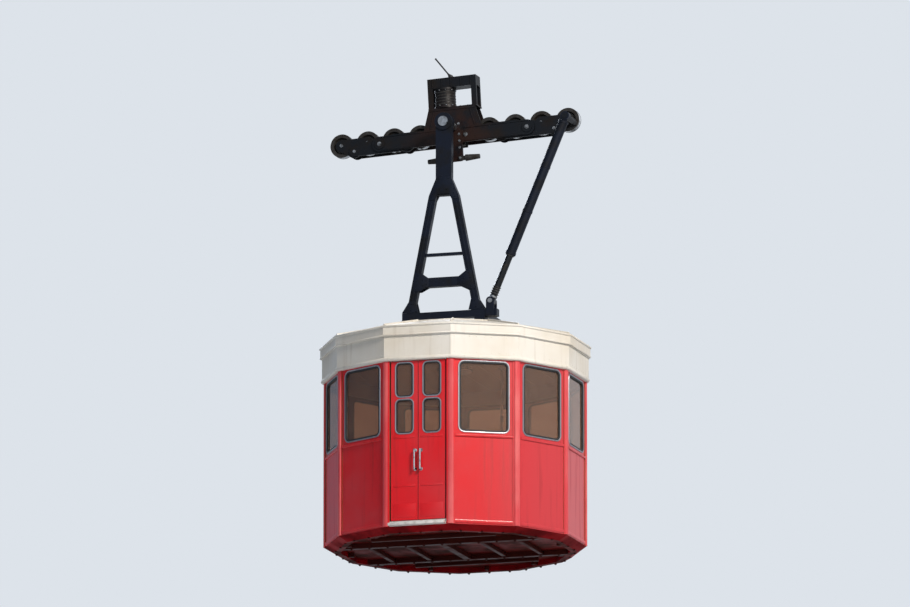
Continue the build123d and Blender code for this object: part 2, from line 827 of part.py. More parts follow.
# Inside fittings: hand rails, grab poles and the ceiling light
rail_y = -(panel_inner - rail_stand)
rail_half = half_side - rail_end_margin
rail_z = cabin_foot + rail_height
rail = Pos(0, rail_y, rail_z) * Rot(0, 90, 0) * Cylinder(rail_radius, 2 * rail_half)
rail_brackets = [
    rod_y(side * (rail_half - rail_stand), rail_z, rail_bracket_radius, -panel_inner, rail_y) - rail
    for side in (-1, 1)
]
save("hand_rails", [facet(rail, i) for i in walls])
save("rail_brackets", [facet(bracket, i) for i in walls for bracket in rail_brackets])
save(
    "grab_poles",
    [
        Pos(side * pole_x, pole_y, (floor_top + ceiling_z) / 2) * Cylinder(pole_radius, ceiling_z - floor_top)
        for side in (-1, 1)
    ],
)
save(
    "ceiling_light",
    Pos(0, 0, ceiling_z - lamp_panel_height / 2) * Cylinder(lamp_panel_radius, lamp_panel_height),
)
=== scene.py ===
import math

import bmesh
import bpy
from mathutils import Matrix, Vector


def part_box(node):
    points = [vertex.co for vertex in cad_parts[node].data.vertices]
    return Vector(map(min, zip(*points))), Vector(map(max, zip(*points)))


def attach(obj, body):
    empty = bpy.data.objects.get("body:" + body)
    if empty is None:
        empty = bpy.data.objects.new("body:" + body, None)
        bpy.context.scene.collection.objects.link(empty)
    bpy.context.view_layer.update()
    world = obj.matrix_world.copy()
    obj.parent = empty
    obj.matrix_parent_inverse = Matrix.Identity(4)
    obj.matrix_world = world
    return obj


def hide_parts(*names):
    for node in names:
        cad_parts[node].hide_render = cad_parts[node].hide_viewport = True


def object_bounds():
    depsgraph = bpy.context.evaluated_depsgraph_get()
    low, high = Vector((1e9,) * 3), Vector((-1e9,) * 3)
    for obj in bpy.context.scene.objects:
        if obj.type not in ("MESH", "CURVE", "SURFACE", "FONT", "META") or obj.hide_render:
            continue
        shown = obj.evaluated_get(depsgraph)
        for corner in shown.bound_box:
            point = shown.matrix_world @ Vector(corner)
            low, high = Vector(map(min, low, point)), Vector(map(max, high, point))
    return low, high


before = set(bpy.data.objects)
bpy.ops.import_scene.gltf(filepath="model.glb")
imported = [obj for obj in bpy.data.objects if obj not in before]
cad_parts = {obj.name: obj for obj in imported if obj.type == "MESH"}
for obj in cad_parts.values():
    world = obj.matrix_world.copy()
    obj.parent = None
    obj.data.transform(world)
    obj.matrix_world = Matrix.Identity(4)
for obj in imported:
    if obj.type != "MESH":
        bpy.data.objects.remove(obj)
cad_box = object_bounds()

LOW, HIGH = 0, 1
X, Y, Z = 0, 1, 2
UP, DOWN, OUT = Vector((0, 0, 1)), Vector((0, 0, -1)), Vector((0, -1, 0))


def edge(node, end, axis):
    """Where a node of the frame ends, in metres, to a hundredth of a millimetre."""
    return round(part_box(node)[end][axis], 5)


def middle_of(node, axis):
    """The middle of a node of the frame along an axis."""
    return (edge(node, LOW, axis) + edge(node, HIGH, axis)) / 2


# Cabin: twelve walls, of which side 0 faces the platform and holds the doors
SIDES = 12
WALLS = range(1, SIDES)
TURN = math.radians(360 / SIDES)
APOTHEM = edge("wall_panels", HIGH, X)
HALF_SIDE = APOTHEM * math.tan(TURN / 2)
FOOT = edge("wall_panels", LOW, Z)
WALL_TOP = edge("wall_panels", HIGH, Z)
JAMB = HALF_SIDE - 0.05
LEAF_GAP = edge("door_leaf_right", LOW, X)
LEAF_EDGE = JAMB - 0.016

# Roof: a band, a gutter above it and a low dome that ends in a flat crown
BAND = APOTHEM + 0.035
GUTTER = edge("roof_fascia", HIGH, X)
ROOF_EDGE = edge("roof_fascia", HIGH, Z)
GUTTER_FOOT = ROOF_EDGE - 0.13
CROWN = edge("roof_dome", HIGH, Z)
CROWN_APOTHEM = 0.78

# Windows: one in each wall, and two small panes in each door leaf
WINDOW_WIDTH, WINDOW_CORNER = 0.58, 0.06
WINDOW_LOW = edge("window_frames", LOW, Z)
WINDOW_HIGH = edge("window_frames", HIGH, Z)
WINDOW_HEIGHT = WINDOW_HIGH - WINDOW_LOW
WINDOW_MID = (WINDOW_LOW + WINDOW_HIGH) / 2
DOOR_PANE_WIDTH, DOOR_PANE_HEIGHT, DOOR_PANE_CORNER = 0.2, 0.39, 0.05
DOOR_PANE_MIDS = (WINDOW_MID - 0.215, WINDOW_MID + 0.215)

# Carriage: it leans with the slope it runs on, and its heights count from 25 mm below the wheels' treads
SLOPE = math.radians(3)
AXLE_UP = 0.19
PIVOT = AXLE_UP / math.cos(SLOPE)
WHEEL_UP = 0.14
WHEEL_FIRST, WHEEL_PITCH = 0.42, 0.32
WHEEL_XS = sorted(side * (WHEEL_FIRST + WHEEL_PITCH * i) for side in (-1, 1) for i in range(4))
MAIN_PIN_X, MAIN_PIN_UP = WHEEL_FIRST + 1.5 * WHEEL_PITCH, 0.096
ROCKER_PIN_X, ROCKER_PIN_UP = WHEEL_FIRST + 2.5 * WHEEL_PITCH, 0.05
PLATE_FACE = edge("main_beam", HIGH, Y)
SPRING_X = -0.098
LEAN = Matrix.Rotation(-SLOPE, 4, "Y")
CARRIAGE = Matrix.Translation((0, 0, PIVOT)) @ LEAN @ Matrix.Translation((0, 0, -AXLE_UP))

# Hanger: two legs from the neck down to the base, on one side of the carriage
LEG_HALF = 0.045
LEG_FOOT = edge("hanger_leg_uphill", LOW, Z)
NECK_FOOT = edge("hanger_leg_uphill", HIGH, Z)
NECK_TOP = NECK_FOOT + 0.2
LEG_TOP_X = edge("hanger_leg_uphill", LOW, X) + LEG_HALF
LEG_FOOT_X = edge("hanger_leg_uphill", HIGH, X) - LEG_HALF
TIE_BAR = edge("hanger_cross_bars", LOW, Z) + 0.055
HANGER_Y = middle_of("hanger_leg_uphill", Y)
HANGER_FACES = ((edge("hanger_leg_uphill", LOW, Y), -1), (edge("hanger_leg_uphill", HIGH, Y), 1))


def facet(index):
    """The turn that takes the door side's place to another side of the cabin."""
    return Matrix.Rotation(TURN * index, 4, "Z")


def corner_way(index):
    """The level way from the cabin's middle through the corner that follows a side."""
    return facet(index) @ Vector((math.sin(TURN / 2), -math.cos(TURN / 2), 0))


def on_wall(index, across, apothem, height):
    """A spot on a side of the cabin and the way out from it."""
    return facet(index) @ Vector((across, -apothem, height)), facet(index) @ OUT


# Camera: the picture looks up at the cabin from below, through a long lens
AZIMUTH, ELEVATION, DISTANCE = math.radians(17.0), math.radians(-11.4), 160.0
VIEW_WIDTH = 10.6
low, high = cad_box
middle = (Vector(low) + Vector(high)) / 2
level = math.cos(ELEVATION)
back = Vector((math.sin(AZIMUTH) * level, -math.cos(AZIMUTH) * level, math.sin(ELEVATION)))
camera_data = bpy.data.cameras.new("long_lens")
camera_data.sensor_width = 36.0
camera_data.lens = camera_data.sensor_width * DISTANCE / VIEW_WIDTH
camera_data.clip_end = 1200.0
camera = bpy.data.objects.new("long_lens", camera_data)
camera.location = middle + back * DISTANCE
camera.rotation_mode = "QUATERNION"
camera.rotation_quaternion = (-back).to_track_quat("-Z", "Y")
bpy.context.scene.collection.objects.link(camera)
bpy.context.scene.camera = camera
bpy.context.scene.view_settings.view_transform = "Standard"


def linear(hex_colour):
    """An sRGB hex colour as the linear values that the shaders take."""
    values = [int(hex_colour[i : i + 2], 16) / 255 for i in (1, 3, 5)]
    return [v / 12.92 if v <= 0.04045 else ((v + 0.055) / 1.055) ** 2.4 for v in values] + [1.0]


def add(tree, kind, inputs=None, out=0, **settings):
    """Adds a node with its settings, and its inputs as links, hex colours or plain values. Gives the output
    asked for, or the node where out is None. A kind without the word Node is a shader node. A colour Mix has
    its share as input 0, its colours as inputs 6 and 7, and the mixed colour as output 2."""
    node = tree.nodes.new(kind if "Node" in kind else "ShaderNode" + kind)
    for name, value in settings.items():
        setattr(node, name, value)
    for name, value in (inputs or {}).items():
        if isinstance(value, bpy.types.NodeSocket):
            tree.links.new(value, node.inputs[name])
        elif isinstance(value, str) and value.startswith("#"):
            node.inputs[name].default_value = linear(value)
        else:
            node.inputs[name].default_value = value
    return node if out is None else node.outputs[out]


def new_finish(name, **shader_values):
    """A material with a Principled shader, its tree, and its Object coordinates."""
    material = bpy.data.materials.new(name)
    material.use_nodes = True
    tree = material.node_tree
    shader = tree.nodes["Principled BSDF"]
    for key, value in shader_values.items():
        shader.inputs[key.replace("_", " ")].default_value = value
    place = add(tree, "TexCoord", out="Object")
    return material, tree, shader, place


def patches(tree, place, size_mm, low_value, high_value, detail=4.0, stretch=(1, 1, 1)):
    """Soft patches of about a real size, from 0 to 1 between two levels of noise."""
    spread = add(tree, "Mapping", {"Vector": place, "Scale": stretch})
    noise = add(tree, "TexNoise", {"Vector": spread, "Scale": 1000.0 / size_mm, "Detail": detail})
    levels = {"Value": noise, "From Min": low_value, "From Max": high_value}
    return add(tree, "MapRange", levels, interpolation_type="SMOOTHSTEP")


def lay_on(tree, shader, colour, roughness, relief=None):
    """Leads a finish into its shader: a colour, a roughness as (share, smoothest, roughest), and a fine
    relief as (height, depth in mm, strength)."""
    tree.links.new(colour, shader.inputs["Base Color"])
    share, smoothest, roughest = roughness
    spread = add(tree, "MapRange", {"Value": share, "To Min": smoothest, "To Max": roughest})
    tree.links.new(spread, shader.inputs["Roughness"])
    if relief:
        height, depth_mm, strength = relief
        depth = {"Height": height, "Distance": depth_mm / 1000.0, "Strength": strength}
        tree.links.new(add(tree, "Bump", depth), shader.inputs["Normal"])


# Fine patterns, as bumps or studs to the metre: orange peel about 4.5 mm wide, grit 6.25 mm wide, and floor
# studs 31.25 mm apart
PEEL_SCALE, GRIT_SCALE, STUD_SCALE = 220.0, 160.0, 32.0


def enamel(name, colour, faded_and_sunlit_tone, grime, roughness, streak=0.35, painted_sun=0.0, coat=0.15):
    """Coach enamel on sheet metal: a gloss coat with slight orange peel, rain streaks, patches of fading and,
    where it is asked for, painted sunlight that pales the +X side."""
    material, tree, shader, place = new_finish(
        name, Coat_Weight=coat, Coat_Roughness=0.1, IOR=1.5, Specular_IOR_Level=0.35
    )
    fade_and_painted_sun = patches(tree, place, 700.0, 0.35, 0.75)
    # Painted sunlight: towards +X the paint is painted paler, up to the pale tone, as if lit by the sun
    if painted_sun:
        uphill = add(tree, "SeparateXYZ", {0: place})
        reach = {"Value": uphill, "From Min": 0.45, "From Max": 1.4, "To Max": painted_sun}
        painted_sun_side = add(tree, "MapRange", reach, interpolation_type="SMOOTHSTEP")
        patchy = add(tree, "Math", {0: fade_and_painted_sun, 1: 0.45}, operation="MULTIPLY")
        fade_and_painted_sun = add(tree, "Math", {0: patchy, 1: painted_sun_side}, operation="MAXIMUM")
    rain = patches(tree, place, 60.0, 0.52, 0.8, 5.0, (1, 1, 0.06))
    weak = add(tree, "Math", {0: rain, 1: streak}, operation="MULTIPLY")
    aged_and_sunlit = add(tree, "Mix", {0: fade_and_painted_sun, 6: colour, 7: faded_and_sunlit_tone}, data_type="RGBA", out=2)
    paint = add(tree, "Mix", {0: weak, 6: aged_and_sunlit, 7: grime}, data_type="RGBA", out=2)
    peel = add(tree, "TexNoise", {"Vector": place, "Scale": PEEL_SCALE, "Detail": 2.0})
    lay_on(tree, shader, paint, (rain, roughness, roughness + 0.2), (peel, 0.25, 0.25))
    return material, tree, shader, place, paint


def machine_paint(name, colour, worn, grime, brake_dust=None, sheen=0.18):
    """Thick machine paint over welded steel: semi-gloss, with oily dirt in patches, small chips to bare metal
    and, where it is asked for, brown brake dust about the middle."""
    material, tree, shader, place = new_finish(name, IOR=1.5, Specular_IOR_Level=sheen)
    oil = patches(tree, place, 180.0, 0.4, 0.72)
    chips = patches(tree, place, 14.0, 0.7, 0.74, 6.0)
    paint = add(tree, "Mix", {0: oil, 6: colour, 7: grime}, data_type="RGBA", out=2)
    if brake_dust:
        from_middle = add(tree, "VectorMath", {0: place}, operation="LENGTH", out="Value")
        reach = {"Value": from_middle, "From Min": 0.7, "From Max": 0.25, "To Max": 0.9}
        near = add(tree, "MapRange", reach, interpolation_type="SMOOTHSTEP")
        mottle = patches(tree, place, 130.0, 0.28, 0.6, 6.0)
        dusty = add(tree, "Math", {0: near, 1: mottle}, operation="MULTIPLY")
        paint = add(tree, "Mix", {0: dusty, 6: paint, 7: brake_dust}, data_type="RGBA", out=2)
    chipped = add(tree, "Mix", {0: chips, 6: paint, 7: worn}, data_type="RGBA", out=2)
    grains = {"Vector": place, "Scale": GRIT_SCALE, "Detail": 3.0}
    grit = add(tree, "TexNoise", grains)
    lay_on(tree, shader, chipped, (oil, 0.42, 0.62), (grit, 0.5, 0.3))
    bare = add(tree, "Math", {0: chips, 1: 0.6}, operation="MULTIPLY")
    tree.links.new(bare, shader.inputs["Metallic"])
    return material


def bare_steel(name, colour, dull, roughness, grain=(1, 30, 1), metallic=1.0):
    """Machined or cast steel: fine tool marks one way, darker where grease has dried."""
    material, tree, shader, place = new_finish(name, Metallic=metallic)
    marks = patches(tree, place, 40.0, 0.3, 0.7, 5.0, grain)
    grease = patches(tree, place, 90.0, 0.5, 0.7)
    tone = add(tree, "Mix", {0: marks, 6: colour, 7: dull}, data_type="RGBA", out=2)
    greasy = add(tree, "Mix", {0: grease, 6: tone, 7: "#2a2622"}, data_type="RGBA", out=2)
    lay_on(tree, shader, greasy, (marks, roughness, roughness + 0.18), (marks, 0.15, 0.35))
    return material


def two_tone(name, tones, roughness, pattern, relief=None, **shader_values):
    """A finish in two close tones. Its pattern, as patches take it, also sets the roughness between two ends
    and, where it is asked for, a relief as (depth in mm, strength)."""
    material, tree, shader, place = new_finish(name, **shader_values)
    share = patches(tree, place, *pattern)
    colour = add(tree, "Mix", {0: share, 6: tones[0], 7: tones[1]}, data_type="RGBA", out=2)
    lay_on(tree, shader, colour, (share, *roughness), (share, *relief) if relief else None)
    return material


# Coach enamel, signal red: the cabin's outside. A gloss surface, with painted sunlight: paler towards +X
SIGNAL_RED = ("#d5101b", "#bd4a50", "#5d1a18", 0.35, 0.3, 0.6)
red_enamel = enamel("coach_enamel_signal_red", *SIGNAL_RED)[0]

# The same enamel on the corner strips, paler all over as a painted highlight along their rounded backs
strip_enamel = enamel("coach_enamel_red_painted_highlight", "#d2434a", "#dd6c6c", "#8a2f2b", 0.36, 0.2)[0]

# The same enamel and painted sunlight on the walls and leaves, with varnished board on faces that look inside
wall_enamel, tree, shader, place, paint = enamel("coach_enamel_red_board_lined", *SIGNAL_RED)
facing = add(tree, "TexCoord", out="Normal")
flat_place = add(tree, "VectorMath", {0: place, 1: (1, 1, 0)}, operation="MULTIPLY")
outwards = add(tree, "VectorMath", {0: facing, 1: flat_place}, operation="DOT_PRODUCT", out="Value")
inside = add(tree, "Math", {0: outwards, 1: -0.2}, operation="LESS_THAN")
grain = patches(tree, place, 30.0, 0.3, 0.7, 6.0, (1, 1, 0.08))
board = add(tree, "Mix", {0: grain, 6: "#8a5a3c", 7: "#74452c"}, data_type="RGBA", out=2)
lined = add(tree, "Mix", {0: inside, 6: paint, 7: board}, data_type="RGBA", out=2)
tree.links.new(lined, shader.inputs["Base Color"])

# Coach enamel, ivory: the roof band and dome, chalky with age and streaked from the gutter
ivory_enamel = enamel("coach_enamel_ivory", "#e2e0d9", "#d6d0c3", "#a79a88", 0.52, 0.3, coat=0.0)[0]

# Machine paint, graphite: carriage plates and brake tower, browned by brake dust about the middle
graphite_paint = machine_paint("machine_paint_graphite", "#0b0f15", "#33312f", "#100b08", "#24140f")

# Machine paint, dark blue: the hanger, its base and the damper
blue_paint = machine_paint("machine_paint_dark_blue", "#0b1220", "#3c3f46", "#07090e")

# Bitumen paint: underframe, dull brown-black with dried mud
underframe_paint = machine_paint("bitumen_paint", "#3b1512", "#4c3a30", "#431a14", sheen=0.04)

# Machined steel: pins, axles and screws, bright with turning marks
machined_steel = bare_steel("machined_steel", "#b9bcc0", "#8d9094", 0.25)

# Nitrided steel: the damper's rod, near black with a thin film of oil
nitrided_steel = bare_steel("nitrided_steel", "#1b1e23", "#111317", 0.22, (1, 1, 20), 0.6)

# Polished steel of the wheels' treads, worn bright in use
tread_steel = bare_steel("polished_tread_steel", "#d0d2d4", "#a9abad", 0.16, (1, 60, 1))

# Cast steel: wheels, jaws and sockets, rough skin from the sand mould
cast_steel = bare_steel("cast_steel", "#3b3a39", "#2a2827", 0.55, (1, 1, 1), 0.7)

# Zinc-plated steel: bolts and nuts, grey with white bloom
zinc_bolt = bare_steel("zinc_plated_steel", "#9a9da0", "#7d8083", 0.4, (1, 1, 1))

# Stainless steel tube, polished: rails, poles and handles
rail_steel = bare_steel("polished_stainless_tube", "#d5d7d9", "#bfc2c5", 0.14, (1, 1, 20))

# EPDM rubber: gaskets and door seals, matt with a grey bloom over a finely pitted skin
rubber, tree, shader, place = new_finish("epdm_rubber", IOR=1.5)
bloom = patches(tree, place, 50.0, 0.4, 0.75)
bloomed = add(tree, "Mix", {0: bloom, 6: "#17181a", 7: "#2c2d2f"}, data_type="RGBA", out=2)
lay_on(tree, shader, bloomed, (bloom, 0.62, 0.8), (patches(tree, place, 6.0, 0.3, 0.7), 0.2, 0.4))

# Anodised aluminium: window frames, brushed along their length
frame_alu = two_tone(
    "anodised_aluminium",
    ("#a9abb0", "#8e9096"),
    (0.32, 0.46),
    (12.0, 0.3, 0.7, 4.0, (1, 1, 0.05)),
    (0.08, 0.3),
    Metallic=1.0,
)

# Aluminium tread plate: door sill and step, pale, scuffed by shoes
tread_plate = two_tone(
    "aluminium_tread_plate",
    ("#e4e1dc", "#bdb8b1"),
    (0.4, 0.58),
    (70.0, 0.4, 0.7, 6.0, (1, 5, 1)),
    (0.3, 0.4),
    Metallic=0.4,
)

# Toughened glass, bronze tint: darkens and warms what is behind it, under a thin dust that catches the sun
window_glass = two_tone(
    "toughened_bronze_glass",
    ("#cda68a", "#c19579"),
    (0.0, 0.06),
    (240.0, 0.45, 0.85),
    IOR=1.5,
    Transmission_Weight=0.9,
)

# Laminated board, cream: ceiling, satin with a fine linen pattern
ceiling_board = two_tone(
    "cream_laminate", ("#d8c7b0", "#cbb9a1"), (0.42, 0.55), (8.0, 0.3, 0.7, 3.0), (0.2, 0.3), IOR=1.5
)

# Opal acrylic: ceiling light, milky
opal_lens = two_tone(
    "opal_acrylic", ("#f1f0ea", "#e6e4dc"), (0.3, 0.4), (60.0, 0.3, 0.7), IOR=1.49, Subsurface_Weight=0.2
)

# Glass fibre rod: the mast, black lacquer over lengthwise fibres
mast_fibre = two_tone(
    "glass_fibre_rod",
    ("#101114", "#1d1f24"),
    (0.35, 0.5),
    (10.0, 0.3, 0.7, 4.0, (1, 1, 0.04)),
    (0.1, 0.4),
    IOR=1.5,
)

# Floor: studded rubber on top, dull red oxide primer below, and a red coat where its edge slopes up to the
# walls, darker than the walls' enamel as painted shade
floor_coat, tree, shader, place = new_finish(
    "rubber_floor_and_oxide_primer", IOR=1.5, Specular_IOR_Level=0.04
)
facing = add(tree, "TexCoord", out="Normal")
up = add(tree, "SeparateXYZ", {0: facing}, out=2)
mud = patches(tree, place, 260.0, 0.35, 0.7, 6.0)
# Tones, clean and muddy: underside, the sloping edge (red, darker as painted shade), and the rubber top
FLOOR_TONES = (("#641513", "#351710"), ("#8f0912", "#5e0b0f"), ("#3c3a38", "#2c2a29"))
underside, skirt_red_painted_shade, rubber_mat = [
    add(tree, "Mix", {0: mud, 6: clean, 7: muddy}, data_type="RGBA", out=2) for clean, muddy in FLOOR_TONES
]
is_skirt = add(tree, "Math", {0: up, 1: -0.93}, operation="GREATER_THAN")
is_top = add(tree, "Math", {0: up, 1: 0.5}, operation="GREATER_THAN")
below = add(tree, "Mix", {0: is_skirt, 6: underside, 7: skirt_red_painted_shade}, data_type="RGBA", out=2)
coat = add(tree, "Mix", {0: is_top, 6: below, 7: rubber_mat}, data_type="RGBA", out=2)
rings = {"Vector": place, "Scale": STUD_SCALE, "Randomness": 0.0}
studs = add(tree, "TexVoronoi", rings)
raised = add(tree, "Math", {0: studs, 1: is_top}, operation="MULTIPLY")
lay_on(tree, shader, coat, (mud, 0.5, 0.75), (raised, -1.5, 0.6))

FINISHED_NODES = (
    (graphite_paint, (
        "rocker_1", "rocker_2", "rocker_3", "rocker_4", "bogie_beam_downhill", "bogie_beam_uphill",
        "main_beam", "brake_body", "tower_frame", "brake_spring_housing", "haul_bracket", "damper_bracket",
    )),
    (machined_steel, ("wheel_axles", "pivot_pins", "hanger_axle", "haul_pins")),
    (nitrided_steel, ("damper_rod",)),
    (cast_steel, ("brake_jaws", "haul_socket_downhill", "haul_socket_uphill")),
    (cast_steel, [f"track_wheel_{number}" for number in range(1, len(WHEEL_XS) + 1)]),
    (mast_fibre, ("radio_mast",)),
    (blue_paint, (
        "damper_barrel", "hanger_head", "hanger_leg_downhill", "hanger_leg_uphill", "hanger_cross_bars",
        "base_beams", "base_cross_beams", "damper_ears",
    )),
    (ivory_enamel, ("roof_fascia", "roof_dome")),
    (ceiling_board, ("ceiling_panel",)),
    (opal_lens, ("ceiling_light",)),
    (wall_enamel, ("corner_posts", "wall_panels", "door_leaf_left", "door_leaf_right")),
    (rubber, ("window_frames",)),
    (window_glass, ("window_panes", "door_pane_left", "door_pane_right")),
    (floor_coat, ("floor",)),
    (underframe_paint, ("underframe",)),
    (tread_plate, ("door_sill", "door_step")),
    (rail_steel, ("hand_rails", "rail_brackets", "grab_poles", "door_handle_left", "door_handle_right")),
)
node_finishes = {name: finish for finish, names in FINISHED_NODES for name in names}
for node_name, node_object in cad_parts.items():
    node_object.data.materials.clear()
    node_object.data.materials.append(node_finishes[node_name])


def round_form(profile, steps=32):
    """Turns a profile of (radius, height) about Z. A radius of zero closes in a point, and a profile that
    stays off the axis closes on itself."""
    points, faces, rows = [], [], []
    for radius, height in profile:
        count = 1 if radius < 1e-6 else steps
        rows.append([len(points) + i for i in range(count)])
        for i in range(count):
            angle = 2 * math.pi * i / steps
            points.append((radius * math.cos(angle), radius * math.sin(angle), height))
    pairs = list(zip(rows, rows[1:]))
    if profile[0][0] > 0 and profile[-1][0] > 0:
        pairs.append((rows[-1], rows[0]))
    for lower, upper in pairs:
        for i in range(steps):
            j = (i + 1) % steps
            ring = [lower[i % len(lower)], lower[j % len(lower)]]
            ring += [upper[j % len(upper)], upper[i % len(upper)]]
            corners = list(dict.fromkeys(ring))
            if len(corners) > 2:
                faces.append(corners)
    return points, faces


def swept(stations, profile, closed=True):
    """Carries a closed profile of (a, b) past stations of (point, direction of a, direction of b)."""
    points, faces = [], []
    count = len(profile)
    for point, first, second in stations:
        for a, b in profile:
            points.append(Vector(point) + Vector(first) * a + Vector(second) * b)
    last = len(stations) if closed else len(stations) - 1
    for i in range(last):
        j = (i + 1) % len(stations)
        for k in range(count):
            m = (k + 1) % count
            faces.append([i * count + k, i * count + m, j * count + m, j * count + k])
    if not closed:
        faces.append(list(range(count)))
        faces.append([(len(stations) - 1) * count + k for k in reversed(range(count))])
    return points, faces


def softened(work, edge_radius):
    """Rounds off the edges of a mesh in work and gives its points and faces."""
    bmesh.ops.bevel(work, geom=work.edges[:], offset=edge_radius, segments=2, affect="EDGES", profile=0.6)
    work.verts.index_update()
    shape = [v.co.copy() for v in work.verts], [[v.index for v in f.verts] for f in work.faces]
    work.free()
    return shape


def soft_block(size, edge_radius):
    """A block with its edges rounded off, centred on the origin."""
    work = bmesh.new()
    bmesh.ops.create_cube(work, size=1.0)
    for vertex in work.verts:
        vertex.co = Vector([share * length for share, length in zip(vertex.co, size)])
    return softened(work, edge_radius)


def soft_plate(outline, y0, y1, edge_radius):
    """A plate with an outline of (x, z), between two y values, its edges rounded off."""
    work = bmesh.new()
    near = [work.verts.new((x, y0, z)) for x, z in outline]
    far = [work.verts.new((x, y1, z)) for x, z in outline]
    work.faces.new(near)
    work.faces.new(list(reversed(far)))
    for i in range(len(outline)):
        j = (i + 1) % len(outline)
        work.faces.new([near[j], near[i], far[i], far[j]])
    return softened(work, edge_radius)


def on_side(side, outline):
    """An outline of (x, z) as drawn for the uphill side, 1, or its mirror image for the downhill side, -1."""
    return [(side * x, z) for x, z in outline][::side]


def rounded_window(width, height, corner, mid, steps=6):
    """Stations round a window with rounded corners in the door side: point, outward, and out of the wall."""
    stations = []
    for quarter, (sx, sz) in enumerate(((1, 1), (-1, 1), (-1, -1), (1, -1))):
        for i in range(steps + 1):
            angle = math.pi / 2 * (quarter + i / steps)
            away = Vector((math.cos(angle), 0, math.sin(angle)))
            centre = Vector((sx * (width / 2 - corner), -APOTHEM, mid + sz * (height / 2 - corner)))
            stations.append((centre + away * corner, away, OUT))
    return stations


def twelve_sided(profile):
    """Carries a closed profile of (apothem, height) round the cabin, mitred at the corners."""
    ways = [corner_way(index) / math.cos(TURN / 2) for index in range(SIDES)]
    return swept([(Vector(), way, UP) for way in ways], profile)


def place_on(point, direction):
    """The place of a form drawn up Z, set on a point and along a direction."""
    turn = Vector(direction).to_track_quat("Z", "Y").to_matrix().to_4x4()
    return Matrix.Translation(point) @ turn


class Shell:
    """Gathers the faces of one piece, each group with its own finish."""

    def __init__(self, *finishes):
        self.finishes = finishes
        self.mesh = bmesh.new()

    def take(self, points, faces, place=Matrix(), finish=0):
        """Adds a form's faces, moved to their place."""
        corners = [self.mesh.verts.new(place @ Vector(point)) for point in points]
        for face in faces:
            made = self.mesh.faces.new([corners[i] for i in face])
            made.material_index = finish
            made.smooth = True

    def block(self, size, edge_radius, spot, finish=0, base=Matrix()):
        """Adds a soft-edged block with its middle on a spot of a base frame."""
        self.take(*soft_block(size, edge_radius), base @ Matrix.Translation(spot), finish)

    def done(self, name, body, sharp=40.0):
        """Makes the object and lets it ride on its body."""
        bmesh.ops.remove_doubles(self.mesh, verts=self.mesh.verts, dist=0.00002)
        bmesh.ops.recalc_face_normals(self.mesh, faces=self.mesh.faces)
        data = bpy.data.meshes.new(name)
        self.mesh.to_mesh(data)
        self.mesh.free()
        for finish in self.finishes:
            data.materials.append(finish)
        data.set_sharp_from_angle(angle=math.radians(sharp))
        piece = bpy.data.objects.new(name, data)
        bpy.context.scene.collection.objects.link(piece)
        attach(piece, body)
        return piece


def fastener_tree():
    """Geometry Nodes: a bolt or rivet head with its washer on every point, along the point's direction."""
    tree = bpy.data.node_groups.new("fasteners_on_points", "GeometryNodeTree")
    sockets = (
        ("Geometry", "NodeSocketGeometry"),
        ("Head radius", "NodeSocketFloat"),
        ("Head height", "NodeSocketFloat"),
        ("Top share", "NodeSocketFloat"),
        ("Head sides", "NodeSocketInt"),
        ("Washer radius", "NodeSocketFloat"),
        ("Washer height", "NodeSocketFloat"),
        ("Finish", "NodeSocketMaterial"),
    )
    for name, kind in sockets:
        tree.interface.new_socket(name=name, in_out="INPUT", socket_type=kind)
    tree.interface.new_socket(name="Geometry", in_out="OUTPUT", socket_type="NodeSocketGeometry")
    given = add(tree, "NodeGroupInput", out=None).outputs
    shares = {0: given["Head radius"], 1: given["Top share"]}
    top = add(tree, "Math", shares, operation="MULTIPLY")
    reach = add(tree, "Math", {0: given["Head height"], 1: given["Washer height"]})
    head = {"Vertices": given["Head sides"], "Radius Top": top, "Depth": reach}
    head["Radius Bottom"] = given["Head radius"]
    washer = {"Vertices": 12, "Depth": given["Washer height"]}
    washer["Radius Top"] = washer["Radius Bottom"] = given["Washer radius"]
    both = add(tree, "GeometryNodeJoinGeometry", out=None)
    for sizes in (head, washer):
        tree.links.new(add(tree, "GeometryNodeMeshCone", sizes), both.inputs[0])
    facing = add(tree, "GeometryNodeInputNamedAttribute", {"Name": "facing"}, data_type="FLOAT_VECTOR")
    turn = add(tree, "FunctionNodeAlignRotationToVector", {"Vector": facing}, axis="Z")
    spots = {"Points": given["Geometry"], "Instance": both.outputs[0], "Rotation": turn}
    spread = add(tree, "GeometryNodeInstanceOnPoints", spots)
    real = add(tree, "GeometryNodeRealizeInstances", {0: spread})
    painted = add(tree, "GeometryNodeSetMaterial", {"Geometry": real, "Material": given["Finish"]})
    tree.links.new(painted, add(tree, "NodeGroupOutput", out=None).inputs[0])
    return tree


FASTENERS = fastener_tree()
# Washers no wider than their heads, so that none shows round a screw or a rivet
FLUSH, BARE = (1.0, 0.1), (1.0, 0.05)


